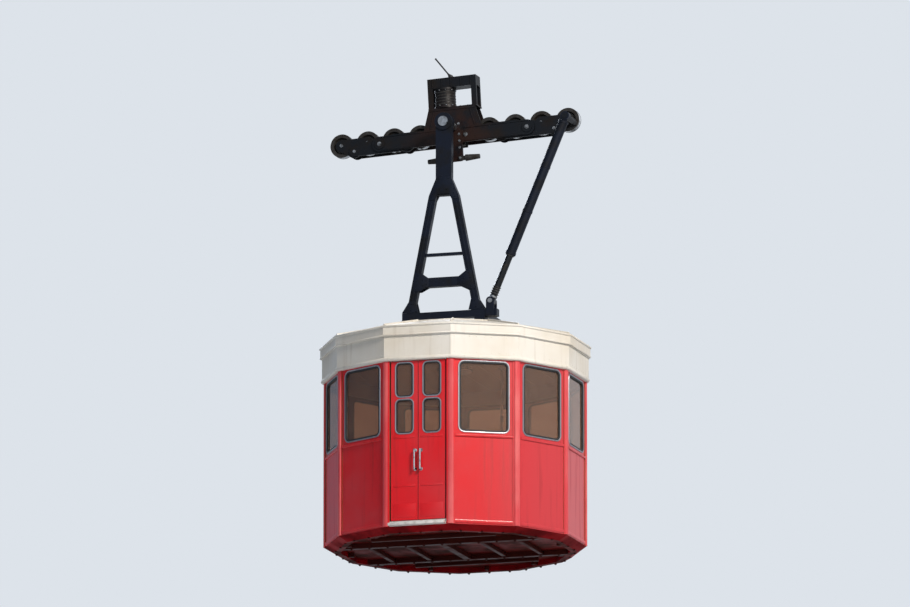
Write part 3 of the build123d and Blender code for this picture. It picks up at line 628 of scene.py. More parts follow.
def fasten(name, body, spots, finish, radius, height, sides=6, top=0.92, washer=(1.35, 0.15)):
    """Sets fasteners at spots of (point, direction), as one plain mesh that rides on a body. The washer is
    (radius, thickness) as shares of the head's radius and height, and top is the head's taper."""
    data = bpy.data.meshes.new(name)
    data.from_pydata([point for point, _ in spots], [], [])
    facing = data.attributes.new("facing", "FLOAT_VECTOR", "POINT")
    for i, (_, direction) in enumerate(spots):
        facing.data[i].vector = Vector(direction).normalized()
    piece = bpy.data.objects.new(name, data)
    bpy.context.scene.collection.objects.link(piece)
    modifier = piece.modifiers.new("fasteners", "NODES")
    modifier.node_group = FASTENERS
    values = {
        "Head radius": radius,
        "Head height": height,
        "Top share": top,
        "Head sides": sides,
        "Washer radius": radius * washer[0],
        "Washer height": height * washer[1],
        "Finish": finish,
    }
    for item in FASTENERS.interface.items_tree:
        if item.in_out == "INPUT" and item.name in values:
            modifier[item.identifier] = values[item.name]
    settled = piece.evaluated_get(bpy.context.evaluated_depsgraph_get())
    plain = bpy.data.meshes.new_from_object(settled)
    piece.modifiers.clear()
    piece.data = plain
    plain.name = name
    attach(piece, body)


# Corner strips: half-round rails over the joints between the walls
strip_half, strip_rise, strip_sink = 0.034, 0.013, 0.003
strip = []
for i in range(9):
    angle = math.pi * (i / 8)
    strip.append((strip_half * math.cos(angle), 0.0015 + strip_rise * math.sin(angle)))
strip += [(-strip_half, -strip_sink), (strip_half, -strip_sink)]
corner_strips = Shell(strip_enamel)
corner_radius = (APOTHEM + 0.008) / math.cos(TURN / 2)
for index in range(SIDES):
    way = corner_way(index)
    base = way * (corner_radius - 0.006)
    stations = [(base + UP * z, UP.cross(way), way) for z in (FOOT + 0.004, WALL_TOP - 0.004)]
    corner_strips.take(*swept(stations, strip, closed=False))
corner_strips.done("corner_strips", "cabin", 50)


def bead(apothem, height, radius, flat=0.6):
    """A half-round bead's profile against the wall."""
    rim = []
    for i in range(9):
        angle = math.radians(-90 + 180 * i / 8)
        rim.append((apothem + flat * radius * math.cos(angle), height + radius * math.sin(angle)))
    return rim + [(apothem - 0.003, height + radius), (apothem - 0.003, height - radius)]


# Beads that edge the roof band: gutter lip, gutter foot and band foot
roof_beads = Shell(ivory_enamel)
roof_beads.take(*twelve_sided(bead(GUTTER, ROOF_EDGE - 0.014, 0.014, 0.9)))
roof_beads.take(*twelve_sided(bead(GUTTER, GUTTER_FOOT + 0.01, 0.01, 0.7)))
roof_beads.take(*twelve_sided(bead(BAND, WALL_TOP + 0.022, 0.02, 0.6)))
roof_beads.done("roof_band_beads", "cabin", 50)

# Roof seams: a folded rib on each corner of the dome, and a bead round the crown
roof_seams = Shell(ivory_enamel)
seam_rib = [(-0.012, -0.003), (0.012, -0.003), (0.008, 0.016), (0.0, 0.02), (-0.008, 0.016)]
for index in range(SIDES):
    way = corner_way(index)
    side = UP.cross(way)
    foot = way * ((GUTTER - 0.02) / math.cos(TURN / 2)) + UP * (ROOF_EDGE + 0.003)
    top = way * ((CROWN_APOTHEM + 0.01) / math.cos(TURN / 2)) + UP * CROWN
    lift = (top - foot).cross(side).normalized()
    lift = lift if lift.z > 0 else -lift
    roof_seams.take(*swept([(foot, side, lift), (top, side, lift)], seam_rib, closed=False))
roof_seams.take(*twelve_sided(bead(CROWN_APOTHEM, CROWN, 0.012, 1.0)))
roof_seams.done("roof_seams", "cabin", 50)

# Belt ledges under the windows and a flat rail along the walls' foot, as (out, up)
belt_ledges = Shell(red_enamel)
ledge = [(-0.003, -0.016), (0.012, -0.014), (0.017, -0.004), (0.015, 0.008), (0.004, 0.016), (-0.003, 0.017)]
foot_rail = [(-0.003, -0.02), (0.006, -0.02), (0.009, -0.012), (0.009, 0.012), (0.006, 0.02), (-0.003, 0.02)]
BELT = WINDOW_LOW - 0.05
rail_end = HALF_SIDE - 0.052
for index in WALLS:
    for height, profile in ((BELT, ledge), (FOOT + 0.035, foot_rail)):
        ends = [on_wall(index, across, APOTHEM, height) for across in (-rail_end, rail_end)]
        belt_ledges.take(*swept([(end, way, UP) for end, way in ends], profile, closed=False))
belt_ledges.done("belt_ledges", "cabin")

# Gaskets stand for the plain frames: a rubber lip outside and inside, with an aluminium rim round the
# opening. Their profiles are (away from the window's middle, out of the wall)
gasket = [
    (-0.02, -0.002), (-0.019, 0.003), (-0.015, 0.0055), (-0.009, 0.0065), (-0.003, 0.0055), (0.0, 0.002),
    (0.0, -0.028), (-0.006, -0.0295), (-0.015, -0.0295), (-0.02, -0.0255),
]
rim = [(-0.0005, 0.0), (0.0005, 0.006), (0.006, 0.0085), (0.013, 0.0075), (0.017, 0.003), (0.0175, 0.0005)]
window_gaskets = Shell(rubber)
window_rims = Shell(frame_alu)
for index in WALLS:
    turn = facet(index)
    stations = [
        (turn @ point, turn @ away, turn @ out)
        for point, away, out in rounded_window(WINDOW_WIDTH, WINDOW_HEIGHT, WINDOW_CORNER, WINDOW_MID)
    ]
    window_gaskets.take(*swept(stations, gasket))
    window_rims.take(*swept(stations, rim))
gaskets = window_gaskets.done("window_gaskets", "cabin")
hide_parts("window_frames")
window_rims.done("window_rims", "cabin")

# Door leaves: gaskets and rims, a kick plate, swage lines, seals along both edges, and the handles' roses
leaf_width = LEAF_EDGE - LEAF_GAP
door_foot, door_head = FOOT + 0.068, WALL_TOP - 0.008
door_middle = (door_foot + door_head) / 2
seal_length = door_head - door_foot - 0.02
LEAF_FACE, SEAL_Y = -APOTHEM - 0.001, -APOTHEM + 0.018
pane_lip = [
    (-0.014, 0.001), (-0.012, 0.005), (-0.005, 0.006), (0.002, 0.005), (0.002, -0.002), (-0.014, -0.012),
]
pane_rim = [(0.0, 0.0), (0.001, 0.005), (0.006, 0.007), (0.012, 0.006), (0.015, 0.002), (0.0155, 0.0)]
rose_profile = [(0.0, 0.0), (0.02, 0.0), (0.022, 0.002), (0.02, 0.005), (0.011, 0.006), (0.0, 0.006)]
cap_profile = [(0.0, -0.004), (0.008, -0.003), (0.0116, 0.0), (0.008, 0.003), (0.0, 0.004)]
HANDLE_RADIUS = 0.011
for name, side in (("left", -1), ("right", 1)):
    body = f"door_leaf_{name}"
    centre = side * (LEAF_GAP + leaf_width / 2)
    trim = Shell(rubber, frame_alu, red_enamel)
    shift = Matrix.Translation((centre, 0, 0))
    for mid in DOOR_PANE_MIDS:
        stations = rounded_window(DOOR_PANE_WIDTH, DOOR_PANE_HEIGHT, DOOR_PANE_CORNER, mid)
        trim.take(*swept(stations, pane_lip), shift, 0)
        trim.take(*swept(stations, pane_rim), shift, 1)
    trim.block((leaf_width - 0.05, 0.004, 0.16), 0.0015, (centre, LEAF_FACE, door_foot + 0.11), 2)
    for height in (BELT, BELT - 0.57):
        trim.block((leaf_width - 0.06, 0.008, 0.022), 0.0035, (centre, LEAF_FACE, height), 2)
    trim.done(f"door_trim_{name}", body)
    seals = Shell(rubber)
    seals.block((0.004, 0.03, seal_length), 0.0012, (side * (LEAF_GAP - 0.001), SEAL_Y, door_middle))
    seals.block((0.008, 0.02, seal_length), 0.003, (side * (LEAF_EDGE + 0.002), SEAL_Y, door_middle))
    seals.done(f"door_seals_{name}", body)
    roses = Shell(rail_steel)
    handle_low, handle_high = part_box(f"door_handle_{name}")
    handle_x = (handle_low[X] + handle_high[X]) / 2
    for z in (handle_low[Z] + HANDLE_RADIUS, handle_high[Z] - HANDLE_RADIUS):
        roses.take(*round_form(rose_profile, 20), place_on((handle_x, -APOTHEM, z), OUT))
    for z in (handle_low[Z], handle_high[Z]):
        tip = (handle_x, handle_low[Y] + HANDLE_RADIUS, z)
        roses.take(*round_form(cap_profile, 16), Matrix.Translation(tip))
    roses.done(f"door_handle_roses_{name}", body)

# Doorway: architrave round the leaves, tread ribs on the step, and its nosing
doorway = Shell(red_enamel, tread_plate)
STEP_RIBS, RIB_PITCH = 5, 0.016
for side in (-1, 1):
    spot = (side * (JAMB + 0.012), -APOTHEM - 0.012, (WALL_TOP + FOOT) / 2)
    doorway.block((0.02, 0.012, WALL_TOP - FOOT - 0.03), 0.004, spot)
for i in range(STEP_RIBS):
    doorway.block((0.64, 0.006, 0.004), 0.0015, (0, -APOTHEM - 0.014 - RIB_PITCH * i, FOOT + 0.029), 1)
doorway.block((0.676, 0.01, 0.03), 0.003, (0, -APOTHEM - 0.096, FOOT + 0.0145), 1)
doorway.done("doorway_trim", "cabin")

# Screws in the middle of the window rims
RIM_MIDDLE, RIM_FACE = 0.0085, APOTHEM + 0.0075
screws = []
for index in WALLS:
    for x in (-0.2, 0.0, 0.2):
        for z in (WINDOW_LOW - RIM_MIDDLE, WINDOW_HIGH + RIM_MIDDLE):
            screws.append(on_wall(index, x, RIM_FACE, z))
    for side in (-1, 1):
        for z in (WINDOW_MID - 0.25, WINDOW_MID, WINDOW_MID + 0.25):
            screws.append(on_wall(index, side * (WINDOW_WIDTH / 2 + RIM_MIDDLE), RIM_FACE, z))
fasten("window_screws", "cabin", screws, machined_steel, 0.0045, 0.0012, 10, 0.8, FLUSH)

# Rivets in two rows along the roof band, and down both edges of each wall
band_half = BAND * math.tan(TURN / 2) - 0.05
band_rivets = []
for index in range(SIDES):
    for i in range(9):
        for height in (WALL_TOP + 0.075, GUTTER_FOOT - 0.03):
            band_rivets.append(on_wall(index, band_half * (i / 4 - 1), BAND, height))
fasten("band_rivets", "cabin", band_rivets, ivory_enamel, 0.0075, 0.0035, 10, 0.45, BARE)
post_rivets = []
for index in WALLS:
    for side in (-1, 1):
        for i in range(13):
            height = FOOT + 0.12 + (WALL_TOP - FOOT - 0.24) * i / 12
            post_rivets.append(on_wall(index, side * (HALF_SIDE - 0.066), APOTHEM, height))
fasten("post_rivets", "cabin", post_rivets, red_enamel, 0.0065, 0.003, 8, 0.45, BARE)

# Inside: light bezel, pole flanges, and strips over the ceiling's joints
lining = Shell(rail_steel, ceiling_board)
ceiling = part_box("ceiling_light")[HIGH][Z]
bezel = round_form([(0.184, -0.03), (0.2, -0.034), (0.212, -0.026), (0.214, 0.0), (0.184, 0.0)], 48)
lining.take(*bezel, Matrix.Translation((0, 0, ceiling)), 0)
pole_low, pole_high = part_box("grab_poles")
POLE_RADIUS = 0.017
flange_profile = [
    (0.0166, 0.0), (0.045, 0.0), (0.046, 0.004), (0.03, 0.009), (0.0185, 0.022), (0.0166, 0.022),
]
for side in (-1, 1):
    for z, direction in ((pole_low[Z], UP), (pole_high[Z], DOWN)):
        spot = (side * (pole_high[X] - POLE_RADIUS), (pole_low[Y] + pole_high[Y]) / 2, z)
        lining.take(*round_form(flange_profile, 28), place_on(spot, direction), 0)
STRIP_PITCH, STRIP_REACH = 0.3, 1.36
for i in range(-4, 5):
    x = STRIP_PITCH * i
    lining.block((0.02, 2 * math.sqrt(STRIP_REACH**2 - x**2), 0.006), 0.002, (x, 0, ceiling - 0.002), 1)
lining.done("cabin_lining_trim", "cabin")

# Underside: a rib at each side's edge angle, stringers both ways, and their bolts
under = Shell(underframe_paint)
SKIRT_LOW, EDGE_ANGLE = edge("underframe", LOW, Z), APOTHEM - 0.1
STRINGER_Z = FOOT - 0.027
for index in range(SIDES):
    under.block((0.04, 0.09, 0.05), 0.006, (0, 0.09 - EDGE_ANGLE, FOOT - 0.028), base=facet(index))
for x in (-0.9, -0.45, 0.45, 0.9):
    under.block((0.05, 0.94, 0.05), 0.006, (x, 0, STRINGER_Z))
for y in (-0.86, 0.86):
    under.block((1.5, 0.05, 0.05), 0.006, (0, y, STRINGER_Z))
under.done("underfloor_ribs", "cabin")
under_bolts = []
FRAME_BEAM_Y = edge("underframe", HIGH, Y) - 0.04
for side in (-1, 1):
    for i in range(-5, 6):
        under_bolts.append((Vector((0.22 * i, side * FRAME_BEAM_Y, SKIRT_LOW)), DOWN))
for index in range(SIDES):
    for x in (-0.25, 0.0, 0.25):
        under_bolts.append((on_wall(index, x, EDGE_ANGLE, SKIRT_LOW)[0], DOWN))
fasten("underframe_bolts", "cabin", under_bolts, underframe_paint, 0.013, 0.01)

# Hanger: flat strips on the legs, a head plate, gussets at the tie bar, shoes, and rings round the axle
run = (LEG_FOOT_X - LEG_TOP_X) / (NECK_FOOT - LEG_FOOT)


def leg_x(z):
    """The middle of a leg at a height."""
    return LEG_TOP_X + run * (NECK_FOOT - z)


strip_top, strip_foot = NECK_FOOT - 0.08, LEG_FOOT + 0.1
leg_strip = [
    (leg_x(strip_top) - 0.014, strip_top),
    (leg_x(strip_top) + 0.014, strip_top),
    (leg_x(strip_foot) + 0.014, strip_foot),
    (leg_x(strip_foot) - 0.014, strip_foot),
]
head_plate = [
    (-0.172, NECK_FOOT - 0.05), (-0.1, NECK_FOOT - 0.05), (-0.07, NECK_FOOT + 0.02),
    (0.07, NECK_FOOT + 0.02), (0.1, NECK_FOOT - 0.05), (0.172, NECK_FOOT - 0.05),
    (0.16, NECK_FOOT + 0.03), (0.082, NECK_TOP + 0.02), (-0.082, NECK_TOP + 0.02), (-0.16, NECK_FOOT + 0.03),
]
gusset_x, gusset_foot, gusset_top = leg_x(TIE_BAR), TIE_BAR - 0.1, TIE_BAR + 0.12
gusset = [
    (gusset_x - 0.16, TIE_BAR - 0.045),
    (gusset_x - 0.05, gusset_foot),
    (leg_x(gusset_foot) + 0.03, gusset_foot),
    (leg_x(gusset_top) + 0.03, gusset_top),
    (gusset_x - 0.06, gusset_top),
    (gusset_x - 0.16, TIE_BAR + 0.045),
]
shoe_top = LEG_FOOT + 0.14
shoe = [
    (LEG_FOOT_X - 0.1, LEG_FOOT + 0.004),
    (LEG_FOOT_X + 0.1, LEG_FOOT + 0.004),
    (leg_x(shoe_top) + 0.04, shoe_top),
    (leg_x(shoe_top) - 0.04, shoe_top),
]
eye_ring = round_form([(0.046, 0), (0.104, 0), (0.106, 0.004), (0.104, 0.012), (0.046, 0.012)], 48)
STRIP_THICK, PLATE_THICK = 0.008, 0.01
hanger = Shell(blue_paint)
for face, out in HANGER_FACES:
    y0, y1 = sorted((face, face + out * STRIP_THICK))
    for side in (-1, 1):
        hanger.take(*soft_plate(on_side(side, leg_strip), y0 - 0.0005, y1, 0.002))
    y0, y1 = sorted((face, face + out * PLATE_THICK))
    hanger.take(*soft_plate(head_plate, y0, y1, 0.003))
    for side in (-1, 1):
        for outline in (gusset, shoe):
            hanger.take(*soft_plate(on_side(side, outline), y0, y1, 0.003))
    hanger.take(*eye_ring, place_on((0, HANGER_Y + out * 0.046, PIVOT), (0, out, 0)))
hanger.done("hanger_plates", "cabin")

# Rivets in the hanger's gussets and shoes, as (from the leg's middle, from the plate's foot), and in its head
# plate, as (x, z). Bolts hold the base down
GUSSET_RIVETS = (
    (-0.13, 0.02), (-0.13, -0.02), (-0.085, 0.03), (-0.085, -0.03),
    (-0.03, 0.09), (-0.01, 0.03), (0.0, -0.07),
)
SHOE_RIVETS = ((-0.07, 0.025), (0.07, 0.025), (-0.025, 0.11), (0.0, 0.11), (0.0, 0.04))
rivet_places = [(0.06, -0.49), (0.1, -0.56), (0.13, -0.62), (0.14, -0.71), (0.04, -0.62), (0.125, -0.67)]
rivet_places += [(gusset_x + across, TIE_BAR + up) for across, up in GUSSET_RIVETS]
rivet_places += [(leg_x(LEG_FOOT + up) + across, LEG_FOOT + up) for across, up in SHOE_RIVETS]
hanger_rivets = []
for face, out in HANGER_FACES:
    for side in (-1, 1):
        for x, z in rivet_places:
            hanger_rivets.append((Vector((side * x, face + out * PLATE_THICK, z)), (0, out, 0)))
fasten("hanger_rivets", "cabin", hanger_rivets, blue_paint, 0.009, 0.006, 10, 0.55, BARE)
foot_bolts = []
for x in (-0.495, -0.455, 0.455, 0.495):
    for y in (-HANGER_Y, HANGER_Y):
        foot_bolts.append((Vector((x, y, LEG_FOOT)), UP))
fasten("base_bolts", "cabin", foot_bolts, zinc_bolt, 0.014, 0.014)

# Track wheels: a turned tread between two flanges, a dished web with lightening holes, and a hub
WHEEL_STEPS = 56
WHEEL_PROFILE = [
    (0.0205, -0.046), (0.036, -0.046), (0.04, -0.042), (0.042, -0.02), (0.084, -0.014), (0.094, -0.03),
    (0.1, -0.0445), (0.138, -0.0455), (0.14, -0.043), (0.1385, -0.034), (0.1175, -0.0285),
    (0.1155, -0.022), (0.115, 0.0), (0.1155, 0.022), (0.1175, 0.0285), (0.1385, 0.034),
    (0.14, 0.043), (0.138, 0.0455), (0.1, 0.0445), (0.094, 0.03), (0.084, 0.014), (0.042, 0.02),
    (0.04, 0.042), (0.036, 0.046), (0.0205, 0.046),
]
# Row k of the faces joins points k and k + 1 of the profile. The tread is the six rows between the flanges
TREAD_ROWS = range(9, 15)
web_points, web_faces = round_form(WHEEL_PROFILE, WHEEL_STEPS)
tread_faces = [face for i, face in enumerate(web_faces) if i // WHEEL_STEPS in TREAD_ROWS]
other_faces = [face for i, face in enumerate(web_faces) if i // WHEEL_STEPS not in TREAD_ROWS]
HOLES, HOLE_CIRCLE = 6, 0.0635
hole_rim = [(0.0, 0.0), (0.0115, 0.0), (0.013, 0.0035), (0.0095, 0.0045), (0.008, 0.001), (0.0, 0.0008)]
for number, x in enumerate(WHEEL_XS, 1):
    place = CARRIAGE @ Matrix.Translation((x, 0, WHEEL_UP)) @ Matrix.Rotation(math.radians(90), 4, "X")
    wheel = Shell(cast_steel, tread_steel)
    wheel.take(web_points, other_faces, place, 0)
    wheel.take(web_points, tread_faces, place, 1)
    for side in (-1, 1):
        for k in range(HOLES):
            angle = 2 * math.pi * k / HOLES
            spot = Vector((HOLE_CIRCLE * math.cos(angle), HOLE_CIRCLE * math.sin(angle), side * 0.0155))
            wheel.take(*round_form(hole_rim, 12), place @ place_on(spot, (0, 0, side)), 0)
    made = wheel.done(f"wheel_{number}", f"track_wheel_{number}", 30)
    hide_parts(f"track_wheel_{number}")

# Carriage: stiffeners on the beams' flanks, discs over the pins, ribs on the tower and rings on its spring
ARM_START, ARM_END, ARM_EDGES = 0.13, 0.88, (0.014, 0.17)
STIFFENER_HALF, RIB_TOP, RIB_FOOT = 0.008, 0.4, 0.2
pin_disc = [(0.0, 0.0), (0.06, 0.0), (0.062, 0.002), (0.06, 0.006), (0.0, 0.006)]
carriage = Shell(graphite_paint, cast_steel)
for flank in (-1, 1):
    y0, y1 = sorted((flank * (PLATE_FACE - 0.0005), flank * (PLATE_FACE + 0.008)))
    stiffeners = [[(-0.28, 0.405), (0.28, 0.405), (0.278, 0.421), (-0.278, 0.421)]]
    for top_x, foot_x in ((-0.22, -0.27), (0.22, 0.27)):
        foot = [(foot_x - STIFFENER_HALF, RIB_FOOT), (foot_x + STIFFENER_HALF, RIB_FOOT)]
        top = [(top_x + STIFFENER_HALF, RIB_TOP), (top_x - STIFFENER_HALF, RIB_TOP)]
        stiffeners.append(foot + top)
    for side in (-1, 1):
        for z in ARM_EDGES:
            arm = [(ARM_START, z), (ARM_END, z), (ARM_END, z + 0.01), (ARM_START, z + 0.01)]
            stiffeners.append(on_side(side, arm))
    for outline in stiffeners:
        carriage.take(*soft_plate(outline, y0, y1, 0.002), CARRIAGE)
    for side in (-1, 1):
        spot = (side * MAIN_PIN_X, flank * (PLATE_FACE + 0.006), MAIN_PIN_UP)
        carriage.take(*round_form(pin_disc, 36), CARRIAGE @ place_on(spot, (0, flank, 0)))
    for x in (-0.225, -0.11, 0.0, 0.12, 0.24):
        carriage.block((0.012, 0.012, 0.11), 0.003, (x, flank * 0.095, 0.74), base=CARRIAGE)
rings = [(0.1175, 0.474)]
for i in range(5):
    z = 0.482 + 0.034 * i
    rings += [(0.118, z), (0.1215, z + 0.004), (0.1215, z + 0.012), (0.118, z + 0.016)]
rings.append((0.1175, 0.642))
carriage.take(*round_form(rings, 48), CARRIAGE @ Matrix.Translation((SPRING_X, 0, 0)), 1)
carriage.done("carriage_stiffeners", "carriage")


def on_carriage(x, y, z, direction):
    """A spot in the leaning carriage, and a direction that leans with it."""
    return CARRIAGE @ Vector((x, y, z)), LEAN @ Vector(direction)


# Nuts on the ends of the pins and axles, and bolts in the tower's feet, the spring housing and the bracket
AXLE_FACE = edge("wheel_axles", HIGH, Y)
ROCKER_NUT_FACE = edge("bogie_beam_uphill", HIGH, Y) + 0.004
BRACKET_FACE, HAUL_PIN_FACE = edge("haul_bracket", LOW, Y), edge("haul_pins", LOW, Y)
TOWER_FOOT_TOP, SPRING_FOOT_TOP, SPRING_CAP_FOOT = 0.443, 0.467, 0.656
SPRING_BOLTS, SPRING_BOLT_CIRCLE = 10, 0.124
nuts, small_nuts, tower_bolts, haul_bolts = [], [], [], []
for flank in (-1, 1):
    way = (0, flank, 0)
    for side in (-1, 1):
        for x in (WHEEL_FIRST, WHEEL_FIRST + 3 * WHEEL_PITCH):
            small_nuts.append(on_carriage(side * x, flank * AXLE_FACE, WHEEL_UP, way))
        small_nuts.append(on_carriage(side * ROCKER_PIN_X, flank * ROCKER_NUT_FACE, ROCKER_PIN_UP, way))
        nuts.append(on_carriage(side * MAIN_PIN_X, flank * (PLATE_FACE + 0.012), MAIN_PIN_UP, way))
        for x in (0.05, 0.15):
            nuts.append(on_carriage(side * x, flank * PLATE_FACE, 0.095, way))
    for x, y in ((-0.255, 0.03), (0.272, 0.03), (0.1, 0.085), (0.19, 0.085)):
        tower_bolts.append(on_carriage(x, flank * y, TOWER_FOOT_TOP, UP))
for k in range(SPRING_BOLTS):
    angle = 2 * math.pi * k / SPRING_BOLTS
    x, y = SPRING_X + SPRING_BOLT_CIRCLE * math.cos(angle), SPRING_BOLT_CIRCLE * math.sin(angle)
    tower_bolts.append(on_carriage(x, y, SPRING_FOOT_TOP, UP))
    tower_bolts.append(on_carriage(x, y, SPRING_CAP_FOOT, DOWN))
for x in (-0.08, 0.08):
    for z in (-0.06, 0.02, 0.1, 0.225):
        haul_bolts.append(on_carriage(x, BRACKET_FACE, z, OUT))
for x in (-0.085, 0.085):
    haul_bolts.append(on_carriage(x, HAUL_PIN_FACE, -0.19, OUT))
fasten("pin_nuts", "carriage", nuts, zinc_bolt, 0.019, 0.014)
fasten("axle_nuts", "carriage", small_nuts, zinc_bolt, 0.014, 0.011)
fasten("tower_bolts", "carriage", tower_bolts, zinc_bolt, 0.008, 0.007)
fasten("haul_bolts", "carriage", haul_bolts, zinc_bolt, 0.0115, 0.009)

# Mast: a rubber boot at its foot and a ball at its tip
MAST_TILT, MAST_X, MAST_UP, MAST_LENGTH = math.radians(36), -0.02, 0.817, 0.295
mast_foot, mast_way = on_carriage(MAST_X, 0, MAST_UP, (-math.sin(MAST_TILT), 0, math.cos(MAST_TILT)))
boot = [
    (0.0, -0.012), (0.028, -0.012), (0.03, 0.0), (0.024, 0.02), (0.013, 0.042), (0.0095, 0.06), (0.0, 0.06),
]
ball = [(0.0, -0.012), (0.008, -0.009), (0.012, 0.0), (0.008, 0.009), (0.0, 0.012)]
mast_trim = Shell(mast_fibre, rubber)
mast_trim.take(*round_form(boot, 24), place_on(mast_foot, mast_way), 1)
mast_trim.take(*round_form(ball, 20), place_on(mast_foot + mast_way * MAST_LENGTH, mast_way), 0)
mast_trim.done("mast_boot", "carriage")

# Damper: collars and a wiper on the barrel, bellows and a collar on the rod, and caps on the lower pin.
# Distances count from the upper pin, along the damper
top_pin = CARRIAGE @ Vector((1.47, HANGER_Y, 0.09))
foot_pin = Vector((0.57, HANGER_Y, -1.975))
length = (foot_pin - top_pin).length
damper = place_on(top_pin, (foot_pin - top_pin).normalized())
BARREL, ROD = 0.056, 0.04
barrel_trim = Shell(blue_paint, rubber)
for start, end, rise in ((0.06, 0.09, 0.006), (0.62, 0.65, 0.004), (1.18, 1.21, 0.004), (1.7, 1.739, 0.006)):
    collar = [
        (BARREL - 0.0005, start - 0.001), (BARREL, start), (BARREL + rise, start + 0.002),
        (BARREL + rise, end - 0.002), (BARREL, end), (BARREL - 0.0005, end + 0.001),
    ]
    barrel_trim.take(*round_form(collar, 40), damper, 0)
wiper = [(ROD + 0.0008, 1.74), (0.053, 1.74), (0.052, 1.75), (0.0445, 1.758), (ROD + 0.0008, 1.758)]
barrel_trim.take(*round_form(wiper, 36), damper, 1)
barrel_trim.done("damper_barrel_trim", "damper_barrel")
folds = [(ROD - 0.0005, length - 0.186)]
for i in range(4):
    z = length - 0.185 + 0.028 * i
    folds += [(ROD + 0.0005, z), (0.052, z + 0.007), (ROD + 0.0005, z + 0.014)]
folds.append((ROD - 0.0005, length - 0.086))
z = length - 0.06
rod_collar = [(ROD - 0.0005, z - 0.012), (0.047, z - 0.01), (0.047, z + 0.01), (ROD - 0.0005, z + 0.012)]
rod_trim = Shell(rubber, zinc_bolt)
rod_trim.take(*round_form(folds, 36), damper, 0)
rod_trim.take(*round_form(rod_collar, 32), damper, 1)
rod_trim.done("damper_rod_boot", "damper_rod")
pin_cap = [(0.0, 0.0), (0.028, 0.0), (0.029, 0.003), (0.026, 0.009), (0.0, 0.009)]
lower_pin = Shell(zinc_bolt)
for side in (-1, 1):
    lower_pin.take(*round_form(pin_cap, 28), place_on(foot_pin + Vector((0, side * 0.065, 0)), (0, side, 0)))
lower_pin.done("damper_lower_pin", "cabin")

# Sky: it lights the object softly, and is seen as the picture's pale backdrop, directly and through glass
BACKDROP = "#dde3ea"
world = bpy.data.worlds.new("open_sky")
bpy.context.scene.world = world
world.use_nodes = True
sky = world.node_tree
sky.nodes.clear()
rays = add(sky, "LightPath", out=None).outputs
seen = add(sky, "Math", {0: rays["Is Camera Ray"], 1: rays["Is Transmission Ray"]}, operation="MAXIMUM")
lighting = add(sky, "Background", {"Color": "#cfd8e6", "Strength": 0.2})
backdrop = add(sky, "Background", {"Color": BACKDROP, "Strength": 1.0})
choice = add(sky, "MixShader", {0: seen, 1: lighting, 2: backdrop})
# Gloss shows a sky that is deeper on the side away from the sun
way_x = add(sky, "SeparateXYZ", {0: add(sky, "TexCoord", out="Generated")})
reach = {"Value": way_x, "From Min": -0.75, "From Max": 0.25}
sunward = add(sky, "MapRange", reach, interpolation_type="SMOOTHSTEP")
deep_sky = add(sky, "Mix", {0: sunward, 6: "#7f8b9c", 7: BACKDROP}, data_type="RGBA", out=2)
mirrored = add(sky, "Background", {"Color": deep_sky, "Strength": 1.0})
choice = add(sky, "MixShader", {0: rays["Is Glossy Ray"], 1: choice, 2: mirrored})
add(sky, "OutputWorld", {"Surface": choice}, out=None)


def soft_lamp(name, place, size, power, colour):
    """A square lamp aimed at the middle of the object."""
    data = bpy.data.lights.new(name, "AREA")
    data.size = size
    data.energy = power
    data.color = linear(colour)[:3]
    lamp = bpy.data.objects.new(name, data)
    lamp.location = place
    lamp.rotation_mode = "QUATERNION"
    lamp.rotation_quaternion = (middle - Vector(place)).to_track_quat("-Z", "Y")
    bpy.context.scene.collection.objects.link(lamp)


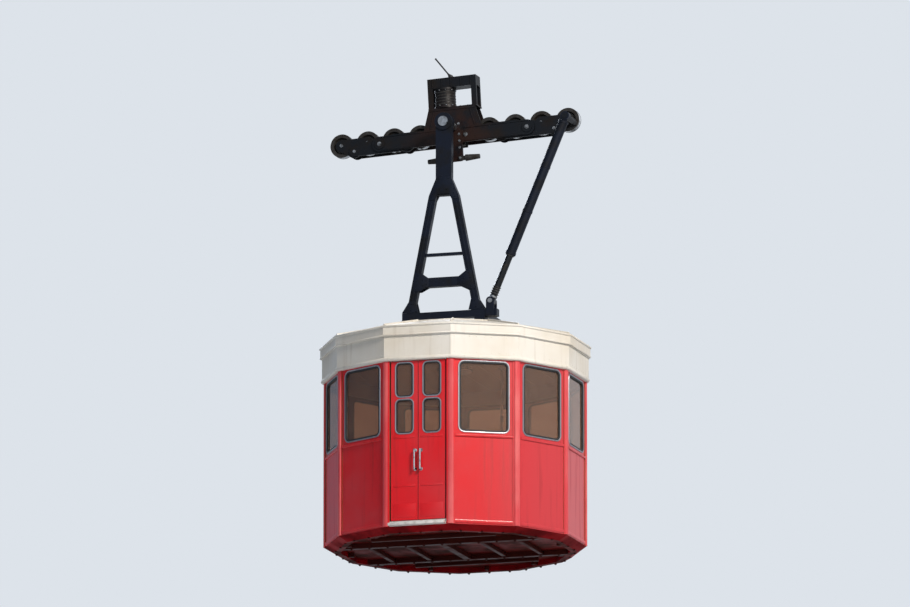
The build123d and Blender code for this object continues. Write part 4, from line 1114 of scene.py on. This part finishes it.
soft_lamp("sun_side", (13.2, -12.1, 7.5), 4.0, 4200, "#fff5ea")
soft_lamp("sky_front", (2.0, -16.0, 3.0), 9.0, 180, "#eaf0fa")
soft_lamp("sky_back", (-9.0, 13.0, 7.0), 8.0, 2300, "#e4ecf8")

# Cement screed, pale and dusty: the floor of the picture. Seen directly or in gloss and glass it is mostly
# the backdrop's tone, all of it far out, so that no edge shows. From below it is open air
ground_finish, tree, shader, place = new_finish("cement_screed", Roughness=0.85)
cloud = patches(tree, place, 900.0, 0.3, 0.7)
screed = add(tree, "Mix", {0: cloud, 6: "#d9dde1", 7: "#d2d6da"}, data_type="RGBA", out=2)
tree.links.new(screed, shader.inputs["Base Color"])
rays = add(tree, "LightPath", out=None).outputs
shown = add(tree, "Math", {0: rays["Is Camera Ray"], 1: rays["Is Glossy Ray"]}, operation="MAXIMUM")
direct = add(tree, "Math", {0: shown, 1: rays["Is Transmission Ray"]}, operation="MAXIMUM")
from_middle = add(tree, "VectorMath", {0: place}, operation="LENGTH", out="Value")
spread = {"Value": from_middle, "From Min": 6.0, "From Max": 32.0, "To Min": 0.62, "To Max": 1.0}
fading = add(tree, "MapRange", spread, interpolation_type="SMOOTHSTEP")
share = add(tree, "Math", {0: direct, 1: fading}, operation="MULTIPLY")
tone = add(tree, "Emission", {"Color": BACKDROP, "Strength": 1.0})
lit = add(tree, "MixShader", {0: share, 1: shader.outputs[0], 2: tone})
below = add(tree, "NewGeometry", out="Backfacing")
open_air = add(tree, "BsdfTransparent")
sided = add(tree, "MixShader", {0: below, 1: lit, 2: open_air})
tree.links.new(sided, tree.nodes["Material Output"].inputs["Surface"])
FLOOR_RADIUS, FLOOR_SIDES = 60, 64
floor_level = low[Z] - 0.75
rim_points = []
for i in range(FLOOR_SIDES):
    angle = 2 * math.pi * i / FLOOR_SIDES
    rim_points.append((FLOOR_RADIUS * math.cos(angle), FLOOR_RADIUS * math.sin(angle), floor_level))
ground_data = bpy.data.meshes.new("pale_floor")
ground_data.from_pydata(rim_points, [], [list(range(FLOOR_SIDES))])
ground_data.materials.append(ground_finish)
ground_object = bpy.data.objects.new("pale_floor", ground_data)
bpy.context.scene.collection.objects.link(ground_object)
